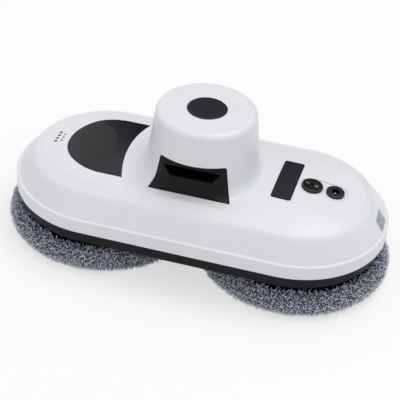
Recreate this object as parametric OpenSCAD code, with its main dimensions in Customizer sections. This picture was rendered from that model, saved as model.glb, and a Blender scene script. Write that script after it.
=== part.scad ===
// Window cleaning robot: a white moulded body with a blower tower stands on two
// spinning pads. Each pad disc is driven through a gear train by its own motor.
// +X runs along the body, +Y to the back, +Z away from the glass, and the origin
// lies on the glass midway between the two discs. All sizes are in millimetres.

/* [Layout] */
// Distance between the axes of the two cleaning discs
disc_pitch = 148; // [144:1:158]
// Gap between the two pads where they pass each other
pad_gap = 0.6; // [0.6:0.1:2]
// Height of the chassis floor above the glass
floor_z = 24; // [24:0.5:27]

/* [White shell] */
// Wall thickness of the moulded cover
shell_t = 2.2; // [1.8:0.1:2.6]
// How far each end of the shell's straight run lies inside the disc axis
end_inset = 2; // [1:0.5:3]
// Width of pad that shows outside the shell, front and back
pad_show = 4.4; // [3.8:0.2:5]
// Height of the black chassis band under the skirt
base_show = 11; // [10:0.5:12]
// Height of the upright skirt
skirt_h = 10.4; // [9.5:0.2:11]
// Width of the narrow ledge on top of the skirt
ledge_w = 2.6; // [2:0.2:3]
// Height of the slanted wall over the ledge
wall_h = 15.2; // [14.6:0.2:17]
// How far the slanted wall leans inward
wall_in = 10.2; // [9:0.2:11]
// Height of the sloped shoulder band
band_h = 4.6; // [4:0.2:5.4]
// Width of the sloped shoulder band
band_w = 10.3; // [9:0.1:11]
// Rise of the crowned deck from its crease to the middle
crown_h = 3.4; // [2.4:0.2:4]
// Radius of the long arc that drops the deck toward both ends
end_crown_r = 1000; // [900:50:1400]
// Height of that arc's top over the middle of the deck
end_crown_rise = 2.2; // [1.8:0.2:3]

/* [Tower] */
// Height of the tower above the deck
tower_h = 47; // [44:0.5:52]
// Radius of the tower where its top edge starts to round
tower_top_r = 37; // [36:0.5:39]
// Radius of the tower's wall at its foot
tower_foot_r = 41; // [40:0.2:43]
// Radius of the rounded top edge
tower_round = 4.4; // [3:0.2:5]
// Height over the deck at which the wall starts to flare
foot_rise = 7.6; // [5:0.2:9]
// Width of the flare at the foot
foot_spread = 9.4; // [7:0.2:10]
// Distance from the middle to the upright plane that cuts the flare, front and back
apron_y = 40.2; // [39.6:0.2:41]
// Radius of the round badge
badge_r = 14.6; // [12:0.2:18]
// Thickness of the badge
badge_t = 1.4; // [1.2:0.1:2]

/* [Vents] */
// Width of a vent bezel along its lower edge
vent_low_w = 60.4; // [56:0.4:61]
// Width of a vent bezel at the foot of the wall
vent_mid_w = 52.4; // [50:0.4:54]
// Width of a vent bezel along its upper edge
vent_top_w = 49; // [44:1:50]
// Height of the bezel's upper edge over the deck
vent_rise = 22; // [20:0.5:23]
// Width of the air slot along its upper edge
slot_top_w = 41.4; // [36:0.2:42]
// Width of the air slot along its lower edge
slot_low_w = 31.2; // [26:0.2:34]
// Height of the air slot
slot_h = 6.5; // [5:0.1:7]
// Depth of the bezel's flange behind the wall
flange_t = 1.2; // [1:0.1:1.5]
// How far the bezel's flat face leans back from its foot to its top
face_lean = 9; // [7:0.5:10]
// Height of the lip over the bezel's flat face
face_lip = 1.1; // [0.9:0.1:1.4]
// Rise of the bezel's upper edge in the middle
vent_arch = 0.5; // [0:0.1:1]

/* [Side panel, switch and socket] */
// Half width of the glossy crescent panel
panel_r = 35.6; // [32:0.2:37]
// Distance from the tower's axis to the centre of the panel's round end
panel_x = 67.5; // [66:0.5:69]
// Distance from the tower's axis to the panel's inner edge
panel_inner_x = 57; // [55:0.5:59]
// Radius of the panel's hollow inner edge
panel_inner_r = 112; // [90:2:130]
// Thickness of the panel
panel_t = 1.5; // [1.2:0.1:1.8]
// Distance from the tower's axis to the switch
switch_x = 82.2; // [80:0.2:84]
// Radius of the switch's raised rim
switch_r = 7.9; // [7:0.1:8.4]
// Throw of the rocker from one side to the other, in degrees
rocker_throw = 14; // [10:1:16]
// Distance from the tower's axis to the power socket
socket_x = 99.5; // [99:0.2:102]
// Radius of the socket's raised rim
socket_r = 6.8; // [6:0.1:7.2]
// Radius of the socket's bore
socket_bore_r = 3; // [2.75:0.05:3.3]
// Radius of the socket's centre pin
socket_pin_r = 1.05; // [0.8:0.05:1.2]
// Height of the rims over the deck
rim_h = 1.5; // [1:0.1:2]

/* [Rope eye] */
// Width of the rope eye at the end of the body
rope_w = 16; // [12:1:18]
// Thickness of the bar that the rope goes round
rope_bar_t = 3; // [2.6:0.1:3.4]
// Depth of the pocket behind the bar
rope_pocket = 6.4; // [5:0.2:7]

/* [Pads and discs] */
// Thickness of the fluffy pad where it bulges at its rim
pad_h = 17.2; // [16:0.2:17.6]
// Radius of the hole in the pad
pad_hole_r = 34; // [32:0.5:36]
// Outer radius of the hub tube in its bearing
hub_r = 20; // [19:0.5:20.5]
// Radius of the suction bore through the hub
suction_r = 15.5; // [14:0.5:16]
// Thickness of the wheel disc's plate
disc_t = 3; // [2.4:0.2:3.2]
// Thickness of the cleaning ring
ring_t = 5.6; // [5:0.2:6]
// Radial width of a bearing from bore to outside
bearing_w = 6; // [5:0.5:6.5]
// Height of a bearing
bearing_h = 7; // [6:0.5:7]

/* [Gear train] */
// Module of the gear teeth
gear_m = 1.5; // [1.4:0.02:1.56]
// Teeth of the drive gear on the hub
drive_teeth = 48; // [46:1:49]
// Teeth of the idler gear
idler_teeth = 20; // [19:1:21]
// Teeth of the motor pinion
pinion_teeth = 14; // [14:1:16]
// Face width of the gears
gear_w = 5; // [4:0.2:5.4]
// Pressure angle of the teeth, in degrees
pressure_angle = 20; // [20:1:22]
// Play between meshing teeth, measured round the pitch circle
backlash = 0.24; // [0.2:0.02:0.4]
// Direction from a hub to its idler, in degrees
idler_turn = 30; // [28:1:32]
// Direction from an idler to its pinion, in degrees
pinion_turn = 50; // [48:1:52]
// Radius of a drive motor
motor_r = 11.5; // [10:0.2:11.8]
// Height of a drive motor
motor_h = 20; // [16:0.5:20.5]

/* [Blower] */
// Outer radius of the blower housing
blower_r = 33; // [31:0.2:33.6]
// Number of impeller blades
blade_count = 9; // [5:1:12]
// Outer radius of the impeller
impeller_r = 28.5; // [24:0.5:29]
// Radius of the impeller's inlet eye
eye_r = 13; // [11:0.5:15]
// Height of the impeller's blades at the eye
blade_h = 10; // [8:0.5:11]
// Thickness of an impeller blade
blade_t = 1.2; // [0.9:0.1:1.6]
// Angle that a blade sweeps back from eye to rim, in degrees
blade_sweep = 52; // [35:1:60]
// Radius of the blower motor
blower_motor_r = 19; // [17:0.5:20]
// Height of the blower motor
blower_motor_h = 28; // [26:0.5:30]

/* [Inner parts] */
// Wall thickness of the chassis, duct and blower mouldings
part_t = 2.2; // [2:0.1:2.4]
// Height of the chassis rim above its floor
rim_wall_h = 17; // [15:0.5:17.5]
// Width of the suction duct's arms
duct_w = 30; // [26:1:32]
// Length of the battery pack
battery_l = 50; // [44:1:50]
// Width of the battery pack
battery_w = 26; // [22:1:26]
// Height of the battery pack
battery_h = 15; // [12:1:16]
// Thickness of a circuit board
board_t = 1.6; // [1.2:0.2:2]
// Width of the infrared receiver
ir_w = 5; // [4:0.2:6]

/* [Fasteners and fits] */
// Radius of a screw's shank
screw_r = 1.5; // [1.2:0.1:1.6]
// Radius of a screw's head
head_r = 2.8; // [2.4:0.1:3]
// Height of a screw's head
head_h = 1.8; // [1.4:0.1:2]
// Radial clearance of a running fit
run_fit = 0.05; // [0.03:0.01:0.08]
// Clearance round pieces that drop into a recess
drop_fit = 0.15; // [0.1:0.05:0.25]
// Clearance between mouldings that nest, and round turning pieces
nest_fit = 0.3; // [0.25:0.05:0.4]

/* [Hidden] */
$fn = 96;
// Overrun of every cut past the face that it opens
over = 1;
// Steps in each rounded stretch of a profile
arc_steps = 5;

// Radii and levels of the shell
pad_r = (disc_pitch - pad_gap) / 2;
disc_x = disc_pitch / 2;
run_a = disc_x - end_inset;
skirt_r = pad_r - pad_show;
ledge_r = skirt_r - ledge_w;
shoulder_r = ledge_r - wall_in;
crease_r = shoulder_r - band_w;
skirt_z = floor_z + base_show;
ledge_z = skirt_z + skirt_h;
shoulder_z = ledge_z + wall_h;
crease_z = shoulder_z + band_h;
crown_z = crease_z + crown_h;
tower_z = crown_z + tower_h;
foot_z = crown_z + foot_rise;
apron_z = crown_z - crown_h * pow(apron_y / crease_r, 2);
// Share of the wall thickness by which a slanted wall moves each way
slant_share = 0.7;
// Shares of a corner's legs that its rounding takes
lip_share = 0.35;
shoulder_share = 0.2;

function bezier(p, q, r, n = arc_steps) =
    [for (i = [0:n]) let (t = i / n) p * (1 - t) * (1 - t) + q * 2 * t * (1 - t) + r * t * t];
function mix(p, q, share) = p + (q - p) * share;

// Height of the crowned deck at a distance from the straight run, moved in by d
function crown_at(s, d) = crown_z - crown_h * pow(s / crease_r, 2) - d;
// Height of the deck at a place along X, where the long arc may lie lower
function deck_at(x) = min(crown_z - crown_h * pow(max(x - run_a, 0) / crease_r, 2),
    crown_z + end_crown_rise - end_crown_r + sqrt(end_crown_r * end_crown_r - x * x));

// Half profile of the shell, moved in by d; it starts and ends on the axis
function shell_profile(d, low) = let (
        lip = [skirt_r - d, ledge_z - d],
        toe = [ledge_r - slant_share * d, ledge_z - d],
        shoulder = [shoulder_r - slant_share * d, shoulder_z - slant_share * d],
        crease = [crease_r, crown_at(crease_r, d)])
    concat(
        [[0, low], [skirt_r - d, low]],
        bezier([lip.x, lip.y - ledge_w * lip_share], lip, [lip.x - ledge_w * lip_share, lip.y], 3),
        [toe],
        bezier(mix(shoulder, toe, shoulder_share), shoulder, mix(shoulder, crease, shoulder_share)),
        [for (i = [6:-1:0]) [crease_r * i / 6, crown_at(crease_r * i / 6, d)]]);

// Half profile of the tower, moved in by d, down to a level inside the body
function tower_profile(d, low) = let (
        top = tower_z - d,
        edge = [tower_top_r - d, top - tower_round],
        wall = [tower_foot_r - d, foot_z],
        root = [tower_foot_r + foot_spread - d, apron_z],
        corner = [tower_foot_r + foot_spread / 9 - d, apron_z + foot_spread / 9])
    concat(
        [[0, low], [root.x, low]],
        bezier(root, corner, wall, 6),
        [edge],
        [for (i = [1:arc_steps]) let (a = 90 * i / arc_steps)
            [edge.x - tower_round * (1 - cos(a)), edge.y + tower_round * sin(a)]],
        [[0, top]]);

// Sweeps a half profile round both ends of the straight run and along it
module stadium_sweep(run) {
    for (side = [-1, 1])
        translate([side * run, 0, 0])
            rotate([0, 0, -side * 90])
                rotate_extrude(angle = 180) children();
    rotate([90, 0, 90])
        translate([0, 0, -run])
            linear_extrude(2 * run) {
                children();
                mirror([1, 0]) children();
            }
}

// Flat stadium outline with round ends
module stadium(run, r) {
    square([2 * run, 2 * r], center = true);
    for (side = [-1, 1]) translate([side * run, 0]) circle(r);
}

// Long cylinder across the body whose top drops the deck toward both ends
module end_crown(d) {
    translate([0, 0, crown_z + end_crown_rise - end_crown_r])
        rotate([90, 0, 0])
            cylinder(r = end_crown_r - d, h = 2 * (skirt_r + over), center = true, $fn = 360);
}

module shell_form(d, low) {
    intersection() {
        stadium_sweep(run_a) polygon(shell_profile(d, low));
        end_crown(d);
    }
}

// Tower with a flared foot, which two upright planes cut off straight
module tower_form(d, low) {
    intersection() {
        rotate_extrude() polygon(tower_profile(d, low));
        translate([-pad_r, -apron_y + d, low - over])
            cube([2 * pad_r, 2 * (apron_y - d), tower_z]);
    }
}

// The deck's top only, for pieces that lie in it
module deck_form(d, low) {
    intersection() {
        stadium_sweep(run_a)
            polygon(concat([[0, low], [crease_r, low]],
                [for (i = [6:-1:0]) [crease_r * i / 6, crown_at(crease_r * i / 6, d)]]));
        end_crown(d);
    }
}

// Vent bezel and its opening, drawn in the XZ plane; the sides and top are grown by g
vent_top_z = crown_z + vent_rise;
vent_round = 3.2;
vent_depth = skirt_r;
// Share of the tower's foot radius at which a bezel's cut starts
vent_start_share = 0.45;
vent_margin = 5.6;

// Right half of the outline, from the lower corner to the upper one
function vent_side(g) = let (
        low = [vent_low_w / 2 + g, apron_z],
        mid = [vent_mid_w / 2 + g, foot_z],
        bend = [mid.x + (low.x - mid.x) / 4, apron_z + foot_rise / 3],
        high = [vent_top_w / 2 + g, vent_top_z + g])
    concat(
        bezier(low, bend, mid, 6),
        bezier([high.x, high.y - vent_round], high, [high.x - vent_round, high.y], 6),
        [for (i = [1:4]) let (part = 1 - i / 4)
            [(high.x - vent_round) * part, high.y + vent_arch * (1 - part * part)]]);

module vent_outline(g) {
    right = vent_side(g);
    last = len(right) - 2;
    polygon(concat(right, [for (i = [last:-1:0]) [-right[i].x, right[i].y]]));
}

module slot_outline() {
    slot_top_z = vent_top_z - vent_margin;
    polygon([
        [-slot_low_w / 2, slot_top_z - slot_h], [slot_low_w / 2, slot_top_z - slot_h],
        [slot_top_w / 2, slot_top_z], [-slot_top_w / 2, slot_top_z]]);
}

// Flat face of the bezel in side view, moved in by d; it leans back toward its top
face_top_z = vent_top_z - face_lip;
function face_line(d) = [for (p = bezier([apron_y, apron_z],
        [apron_y - face_lean / 30, mix(apron_z, face_top_z, 0.43)],
        [apron_y - face_lean, face_top_z], 8)) [p.x - d, p.y]];

// Extrudes a side view across the body, with its first axis toward the front
module across(width) {
    rotate([90, 0, -90])
        linear_extrude(width, center = true) children();
}

// Extrudes an outline from the XZ plane toward the front
module to_front(start, depth) {
    translate([0, -start, 0])
        rotate([90, 0, 0])
            linear_extrude(depth) children();
}

// Control group: the switch and socket stand square to the sloping deck
control_x = (switch_x + socket_x) / 2;
control_slope = asin(control_x / end_crown_r);
pill_r = switch_r + 1.7;
pill_depth = 0.6;

module on_deck() {
    translate([control_x, 0, deck_at(control_x)])
        rotate([0, control_slope, 0])
            children();
}
switch_dx = switch_x - control_x;
socket_dx = socket_x - control_x;
switch_body_r = switch_r - 1.3;
socket_body_r = socket_r - 1.2;
control_depth = 13;

// Side panel outline in plan, grown by g
module panel_outline(g) {
    far = panel_inner_r - panel_inner_x;
    difference() {
        union() {
            translate([-panel_x, 0]) circle(panel_r + g);
            translate([-panel_x, -panel_r - g])
                square([panel_x - panel_inner_x + panel_inner_r / 8, 2 * (panel_r + g)]);
        }
        translate([far, 0]) circle(panel_inner_r - g, $fn = 180);
    }
}

// Sound holes over the buzzer
sound_x = 108.6;
sound_step = 4;
sound_r = 0.9;

// Rope eye at the right end
rope_out_x = run_a + skirt_r;
rope_in_x = rope_out_x - rope_bar_t - rope_pocket;
rope_floor_z = skirt_z + shell_t;
rope_bar_z = ledge_z - shell_t * 1.25;

module rope_pocket_cut() {
    translate([rope_in_x, -rope_w / 2, rope_floor_z])
        cube([rope_pocket, rope_w, crown_z]);
    translate([rope_in_x, -rope_w / 2, rope_floor_z])
        cube([rope_pocket + rope_bar_t + over, rope_w, rope_bar_z - rope_floor_z]);
}

module rope_pocket_walls() {
    intersection() {
        translate([rope_in_x - shell_t, -rope_w / 2 - shell_t, skirt_z])
            cube([rope_pocket + rope_bar_t + shell_t, rope_w + 2 * shell_t, wall_h + skirt_h]);
        shell_form(shell_t / 2, skirt_z);
    }
}

// Case bosses, between the cover and the chassis
boss_r = 4;
boss_ring = skirt_r - shell_t - nest_fit - part_t - 1.65 * boss_r;
boss_turn = 50;
boss_places = concat(
    [for (side = [-1, 1]) [0, side * boss_ring]],
    [for (sx = [-1, 1], sy = [-1, 1])
        [sx * (run_a + boss_ring * cos(boss_turn)), sy * boss_ring * sin(boss_turn)]]);
boss_z = floor_z + part_t + 4;

// Damper and motor levels in the tower
duct_z = floor_z + part_t + 10;
duct_h = 10;
blower_z = duct_z + duct_h;
impeller_gap = 1;
impeller_z = blower_z + part_t + impeller_gap;
plate_t = 1.4;
shroud_t = 1.2;
deck_z = impeller_z + shroud_t + blade_h + plate_t + impeller_gap;
deck_t = 2.4;
motor_z = deck_z + deck_t;
damper_h = 4;
damper_r = 15;
damper_z = motor_z + blower_motor_h;
ceiling_z = tower_z - shell_t;

module top_cover() {
    color("white")
    difference() {
        union() {
            difference() {
                union() {
                    shell_form(0, skirt_z);
                    tower_form(0, ledge_z);
                }
                shell_form(shell_t, skirt_z - over);
                tower_form(shell_t, ledge_z);
            }
            rope_pocket_walls();
            cover_bosses();
            tower_ribs();
        }
        for (turn = [0, 180])
            rotate([0, 0, turn])
                to_front(tower_foot_r * vent_start_share, vent_depth) vent_outline(drop_fit);
        translate([0, 0, tower_z - badge_t + nest_fit])
            cylinder(r = badge_r + drop_fit, h = badge_t + over);
        on_deck() {
            translate([0, 0, -pill_depth])
                linear_extrude(crown_h + over) stadium(-switch_dx, pill_r);
            translate([switch_dx, 0, -control_depth])
                cylinder(r = switch_body_r + drop_fit, h = 2 * control_depth);
            translate([socket_dx, 0, -control_depth])
                cylinder(r = socket_body_r + drop_fit, h = 2 * control_depth);
        }
        difference() {
            translate([0, 0, shoulder_z]) linear_extrude(wall_h) panel_outline(drop_fit);
            deck_form(panel_t, ledge_z);
        }
        for (i = [0:3])
            translate([-sound_x - sound_step, sound_step * (i - 1.5), ledge_z])
                cylinder(r = 1.3 * sound_r, h = wall_h * 2, $fn = 24);
        for (i = [0:2])
            translate([-sound_x, sound_step * (i - 1), ledge_z])
                cylinder(r = sound_r, h = wall_h * 2, $fn = 24);
        rope_pocket_cut();
        for (p = boss_places)
            translate([p.x, p.y, boss_z - over])
                cylinder(r = screw_r - nest_fit, h = 8 + over, $fn = 24);
    }
}

// Posts that hang from the cover and take the case screws
module cover_bosses() {
    intersection() {
        for (p = boss_places)
            translate([p.x, p.y, boss_z])
                cylinder(r = boss_r, h = shoulder_z - boss_z, $fn = 32);
        shell_form(shell_t / 2, floor_z);
    }
}

// Ring under the tower's ceiling that holds the motor's damper, and its ribs
module tower_ribs() {
    low = damper_z + damper_h;
    difference() {
        translate([0, 0, low]) cylinder(r = damper_r, h = ceiling_z - low + shell_t / 2);
        translate([0, 0, low - over])
            cylinder(r = damper_r - part_t, h = ceiling_z - low + over);
    }
    for (turn = [0:60:300])
        rotate([0, 0, turn])
            translate([damper_r - part_t / 2, -part_t / 2, ceiling_z - tower_round])
                cube([tower_top_r - damper_r - tower_round, part_t, tower_round + shell_t / 2]);
}

module tower_badge() {
    color("#15161a")
        translate([0, 0, tower_z - badge_t + nest_fit])
            rotate_extrude()
                polygon(concat([[0, 0], [badge_r, 0]],
                    bezier([badge_r, badge_t / 2], [badge_r, badge_t], [badge_r - badge_t, badge_t], 3),
                    [[0, badge_t]]));
}

// Concave bezel that follows the foot of the tower, with its air slot and flange
module vent_bezel() {
    color("#1d1e22")
    difference() {
        union() {
            intersection() {
                difference() {
                    vent_solid(vent_start_share, 0);
                    tower_form(shell_t + drop_fit + flange_t, ledge_z);
                }
                tower_form(nest_fit, ledge_z);
            }
            intersection() {
                difference() {
                    vent_solid(vent_start_share, flange_t * 1.5);
                    tower_form(shell_t + drop_fit + flange_t, shoulder_z);
                }
                tower_form(shell_t + drop_fit, shoulder_z);
                translate([0, 0, foot_z])
                    cylinder(r = tower_foot_r, h = tower_h);
            }
            // Wall behind the flat face, and the roof under the lip
            intersection() {
                vent_solid(vent_start_share, 0);
                tower_form(nest_fit, ledge_z);
                across(vent_low_w) {
                    polygon(concat(face_line(-over), [for (i = [8:-1:0]) face_line(part_t)[i]]));
                    translate([apron_y - face_lean - part_t, face_top_z])
                        square([tower_foot_r, face_lip + vent_arch + over]);
                }
            }
        }
        across(vent_low_w)
            polygon(concat(face_line(0),
                [[pad_r, face_top_z], [pad_r, apron_z - over], [apron_y, apron_z - over]]));
        to_front(tower_foot_r * vent_start_share, vent_depth) slot_outline();
    }
}

module vent_solid(start_share, g) {
    to_front(tower_foot_r * start_share, vent_depth) vent_outline(g);
}

module front_vent() { vent_bezel(); }
module rear_vent() { rotate([0, 0, 180]) vent_bezel(); }

module side_panel() {
    color("#17181c")
    intersection() {
        translate([0, 0, ledge_z]) linear_extrude(wall_h * 2) panel_outline(0);
        difference() {
            deck_form(0, ledge_z);
            deck_form(panel_t, ledge_z - over);
        }
    }
}

// Round rocker switch
rocker_ball_r = switch_r - 1.7;
rocker_pivot = rim_h - rocker_ball_r * 0.35;
rocker_pin_r = 1;
rocker_well = 6.6;
rocker_tilt = rocker_throw / 2;

module switch_housing() {
    color("#1a1b1e")
    on_deck() translate([switch_dx, 0, 0])
    difference() {
        union() {
            rotate_extrude()
                polygon(concat([[0, -pill_depth], [switch_r, -pill_depth]],
                    bezier([switch_r, rim_h / 2], [switch_r, rim_h], [switch_r - rim_h / 2, rim_h], 3),
                    [[0, rim_h]]));
            translate([0, 0, -control_depth]) cylinder(r = switch_body_r, h = control_depth);
            for (side = [-1, 1])
                translate([side * switch_body_r / 2 - 0.4, -1.5, -control_depth - 4])
                    cube([0.8, 3, 4 + over]);
        }
        translate([0, 0, rocker_pivot - rocker_ball_r])
            cylinder(r = rocker_ball_r + nest_fit / 2, h = 2 * rocker_well);
        translate([0, 0, rocker_pivot])
            rotate([90, 0, 0])
                cylinder(r = rocker_pin_r + run_fit, h = 2 * (rocker_ball_r + 0.8), center = true);
    }
}

module switch_rocker() {
    color("#222327")
    on_deck() translate([switch_dx, 0, rocker_pivot]) rotate([0, rocker_tilt, 0]) {
        intersection() {
            sphere(r = rocker_ball_r);
            // The V-shaped top: each side falls away from the middle
            rotate([90, 0, 0])
                linear_extrude(3 * rocker_ball_r, center = true)
                    polygon([
                        [-rocker_ball_r, -rocker_ball_r / 2],
                        [rocker_ball_r, -rocker_ball_r / 2],
                        [rocker_ball_r, rocker_ball_r * 0.42],
                        [0, rocker_ball_r * 0.42 - rocker_ball_r * tan(rocker_tilt)],
                        [-rocker_ball_r, rocker_ball_r * 0.42]]);
        }
        rotate([90, 0, 0])
            cylinder(r = rocker_pin_r, h = 2 * (switch_body_r - run_fit), center = true);
    }
}

module socket_housing() {
    color("#1a1b1e")
    on_deck() translate([socket_dx, 0, 0])
    difference() {
        union() {
            rotate_extrude()
                polygon(concat([[0, -pill_depth], [socket_r, -pill_depth]],
                    bezier([socket_r, rim_h / 2], [socket_r, rim_h], [socket_r - rim_h / 2, rim_h], 3),
                    [[0, rim_h]]));
            translate([0, 0, -control_depth]) cylinder(r = socket_body_r, h = control_depth);
        }
        translate([0, 0, rim_h - socket_depth]) cylinder(r = socket_bore_r, h = socket_depth + over);
        translate([0, 0, -control_depth - over])
            cylinder(r = socket_pin_r, h = control_depth, $fn = 24);
    }
}
socket_depth = 9.5;

module socket_pin() {
    color("silver")
    on_deck() translate([socket_dx, 0, 0])
        rotate_extrude()
            polygon(concat(
                [[0, -control_depth - 3], [socket_pin_r - run_fit / 2, -control_depth - 3],
                    [socket_pin_r - run_fit / 2, -socket_pin_r]],
                bezier([socket_pin_r - run_fit / 2, -socket_pin_r], [socket_pin_r, 0], [0, 0], 3)));
}

// Chassis: a black tray with bearing collars, gear posts and screw bosses
base_r = skirt_r - shell_t - nest_fit;
collar_r = hub_r + bearing_w + run_fit + part_t;
collar_lip = 1.2;
collar_drop = bearing_h - part_t + collar_lip;

gear_clear = 0.8;
gear_z = floor_z + part_t + gear_clear;
gear_plate_z = gear_z + gear_w + gear_clear;
bearing_z = floor_z + part_t - bearing_h;
post_r = 3;

// Pitch radii and centres of the left gear train; the right one is turned half round
drive_r = gear_m * drive_teeth / 2;
idler_r = gear_m * idler_teeth / 2;
pinion_r = gear_m * pinion_teeth / 2;
hub_place = [-disc_x, 0];
idler_place = hub_place + (drive_r + idler_r) * [cos(idler_turn), sin(idler_turn)];
pinion_place = idler_place + (idler_r + pinion_r) * [cos(pinion_turn), sin(pinion_turn)];
idler_phase = idler_turn + 180 + 180 / idler_teeth + idler_turn * drive_teeth / idler_teeth;
pinion_phase = pinion_turn + 180 + 180 / pinion_teeth
    - (idler_phase - pinion_turn) * idler_teeth / pinion_teeth;
idler_pin_r = 2.5;

// Posts of the gearbox plate, measured from the idler and the pinion
plate_posts = [
    pinion_place + [pinion_r + 5.5, 1],
    idler_place + [-idler_r / 2, idler_r + 6.5],
    idler_place + [idler_r + 5, -idler_r / 3]];

// Posts of the boards, measured from the hub that they stand round
board_post_out = drive_r + gear_m + post_r + 1;
main_posts = [for (turn = [62, -62, -142, 142])
    hub_place + (board_post_out + 2) * [cos(turn), sin(turn)]];
power_posts = [for (turn = [-120, -60, -90])
    [disc_x, 0] + (board_post_out + 4) * [cos(turn), sin(turn)]];
battery_place = [disc_x - battery_l / 2, hub_r + part_t + 3.5];
tray_reach = head_r + 3.7;
tray_posts = [
    battery_place + [-tray_reach, battery_w / 4],
    battery_place + [battery_l + tray_reach, battery_w / 4],
    battery_place + [battery_l / 2, battery_w + head_r + 1]];
main_board_z = duct_z + duct_h + 2;
power_board_z = duct_z + 2;
tray_z = duct_z;
// Suction duct: a round chamber, two mouths and four lugs clear of the gearbox plates
chamber_r = blower_r - 3;
mouth_r = hub_r + part_t;
duct_turns = [80, 35, 260, 215];
duct_posts = [for (turn = duct_turns) (chamber_r + post_r + 0.4) * [cos(turn), sin(turn)]];

module post(p, z, hole = screw_r - nest_fit) {
    translate([p.x, p.y, floor_z + part_t / 2])
        difference() {
            cylinder(r = post_r, h = z - floor_z - part_t / 2, $fn = 32);
            translate([0, 0, z - floor_z - part_t / 2 - 5])
                cylinder(r = hole, h = 5 + over, $fn = 24);
        }
}

module base_chassis() {
    color("#202124")
    difference() {
        union() {
            stadium_sweep(run_a)
                polygon(concat([[0, floor_z]],
                    bezier([base_r - part_t, floor_z], [base_r, floor_z], [base_r, floor_z + part_t], 3),
                    [[base_r, floor_z + rim_wall_h], [base_r - part_t, floor_z + rim_wall_h],
                        [base_r - part_t, floor_z + part_t], [0, floor_z + part_t]]));
            for (side = [-1, 1])
                translate([side * disc_x, 0, floor_z - collar_drop])
                    cylinder(r = collar_r, h = collar_drop + part_t / 2);
            for (p = boss_places)
                translate([p.x, p.y, floor_z + part_t / 2])
                    cylinder(r = boss_r, h = boss_z - floor_z - part_t / 2, $fn = 32);
            for (turn = [0, 180])
                rotate([0, 0, turn]) {
                    for (p = plate_posts) post(p, gear_plate_z);
                    translate([idler_place.x, idler_place.y, floor_z + part_t / 2])
                        cylinder(r = idler_pin_r + part_t, h = part_t / 2 + gear_clear / 2, $fn = 32);
                }
            for (p = duct_posts) post(p, duct_z);
            for (p = main_posts) post(p, main_board_z);
            for (p = power_posts) post(p, power_board_z);
            for (p = tray_posts) post(p, tray_z);
        }
        for (side = [-1, 1])
            translate([side * disc_x, 0, 0]) {
                translate([0, 0, bearing_z])
                    cylinder(r = hub_r + bearing_w + run_fit, h = bearing_h + over);
                translate([0, 0, floor_z - collar_drop - over])
                    cylinder(r = hub_r + bearing_w / 2, h = collar_drop + part_t + over);
            }
        for (p = boss_places)
            translate([p.x, p.y, 0]) {
                translate([0, 0, floor_z - over]) cylinder(r = screw_r + drop_fit, h = boss_z, $fn = 24);
                translate([0, 0, floor_z - over])
                    cylinder(r = head_r + drop_fit, h = head_h + over, $fn = 32);
            }
        for (turn = [0, 180])
            rotate([0, 0, turn])
                translate([idler_place.x, idler_place.y, floor_z + part_t / 2])
                    cylinder(r = idler_pin_r + run_fit / 2, h = part_t + gear_clear, $fn = 32);
        translate([rope_in_x - shell_t - nest_fit, -rope_w / 2 - shell_t - nest_fit, skirt_z - nest_fit])
            cube([rope_out_x, rope_w + 2 * (shell_t + nest_fit), rim_wall_h]);
    }
}

// Ball bearing with shielded grooves on both faces
module disc_bearing(side) {
    groove = bearing_w / 4;
    color("silver")
    translate([side * disc_x, 0, bearing_z])
        rotate_extrude()
            translate([hub_r + run_fit, 0])
                polygon([
                    [0, 0], [groove, 0], [groove * 1.1, groove / 4],
                    [groove * 2.9, groove / 4], [groove * 3, 0], [bearing_w, 0],
                    [bearing_w, bearing_h], [groove * 3, bearing_h], [groove * 2.9, bearing_h - groove / 4],
                    [groove * 1.1, bearing_h - groove / 4], [groove, bearing_h], [0, bearing_h]]);
}
module disc_bearing_left() { disc_bearing(-1); }
module disc_bearing_right() { disc_bearing(1); }

// Wheel disc: hub tube, plate, rim and ribs in one moulding
ring_z = pad_h / 2;
disc_z = ring_z + ring_t;
gear_bore_r = hub_r - 2;
hub_top_z = duct_z - 1.2;
disc_rim_r = pad_r - pad_h / 2 - nest_fit;
ring_in_r = pad_hole_r - 3;

module wheel_disc(side) {
    color("#2a2b2f")
    translate([side * disc_x, 0, 0])
    difference() {
        union() {
            rotate_extrude()
                polygon([
                    [suction_r, disc_z], [disc_rim_r, disc_z], [disc_rim_r, disc_z + disc_t],
                    [collar_r + disc_t, disc_z + disc_t], [hub_r + bearing_w / 3, disc_z + disc_t],
                    [hub_r + bearing_w / 4, bearing_z - drop_fit], [hub_r, bearing_z - drop_fit],
                    [hub_r, gear_z], [gear_bore_r, gear_z], [gear_bore_r, hub_top_z],
                    [suction_r, hub_top_z]]);
            difference() {
                translate([0, 0, ring_z + ring_t / 3])
                    cylinder(r = ring_in_r - nest_fit, h = ring_t * 2 / 3 + disc_t / 2);
                translate([0, 0, ring_z])
                    cylinder(r = ring_in_r - nest_fit - part_t, h = ring_t + disc_t);
            }
            for (turn = [0:30:330])
                rotate([0, 0, turn])
                    translate([suction_r + part_t, -part_t / 2, disc_z - ring_t / 3])
                        cube([ring_in_r - suction_r - 2 * part_t, part_t, ring_t / 3 + disc_t / 2]);
        }
        for (turn = [0:60:300])
            rotate([0, 0, turn])
                translate([ring_in_r + disc_t * 2, -part_t, disc_z - over])
                    cube([part_t * 2, part_t * 2, disc_t + 2 * over]);
    }
}
module wheel_disc_left() { wheel_disc(-1); }
module wheel_disc_right() { wheel_disc(1); }

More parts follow.
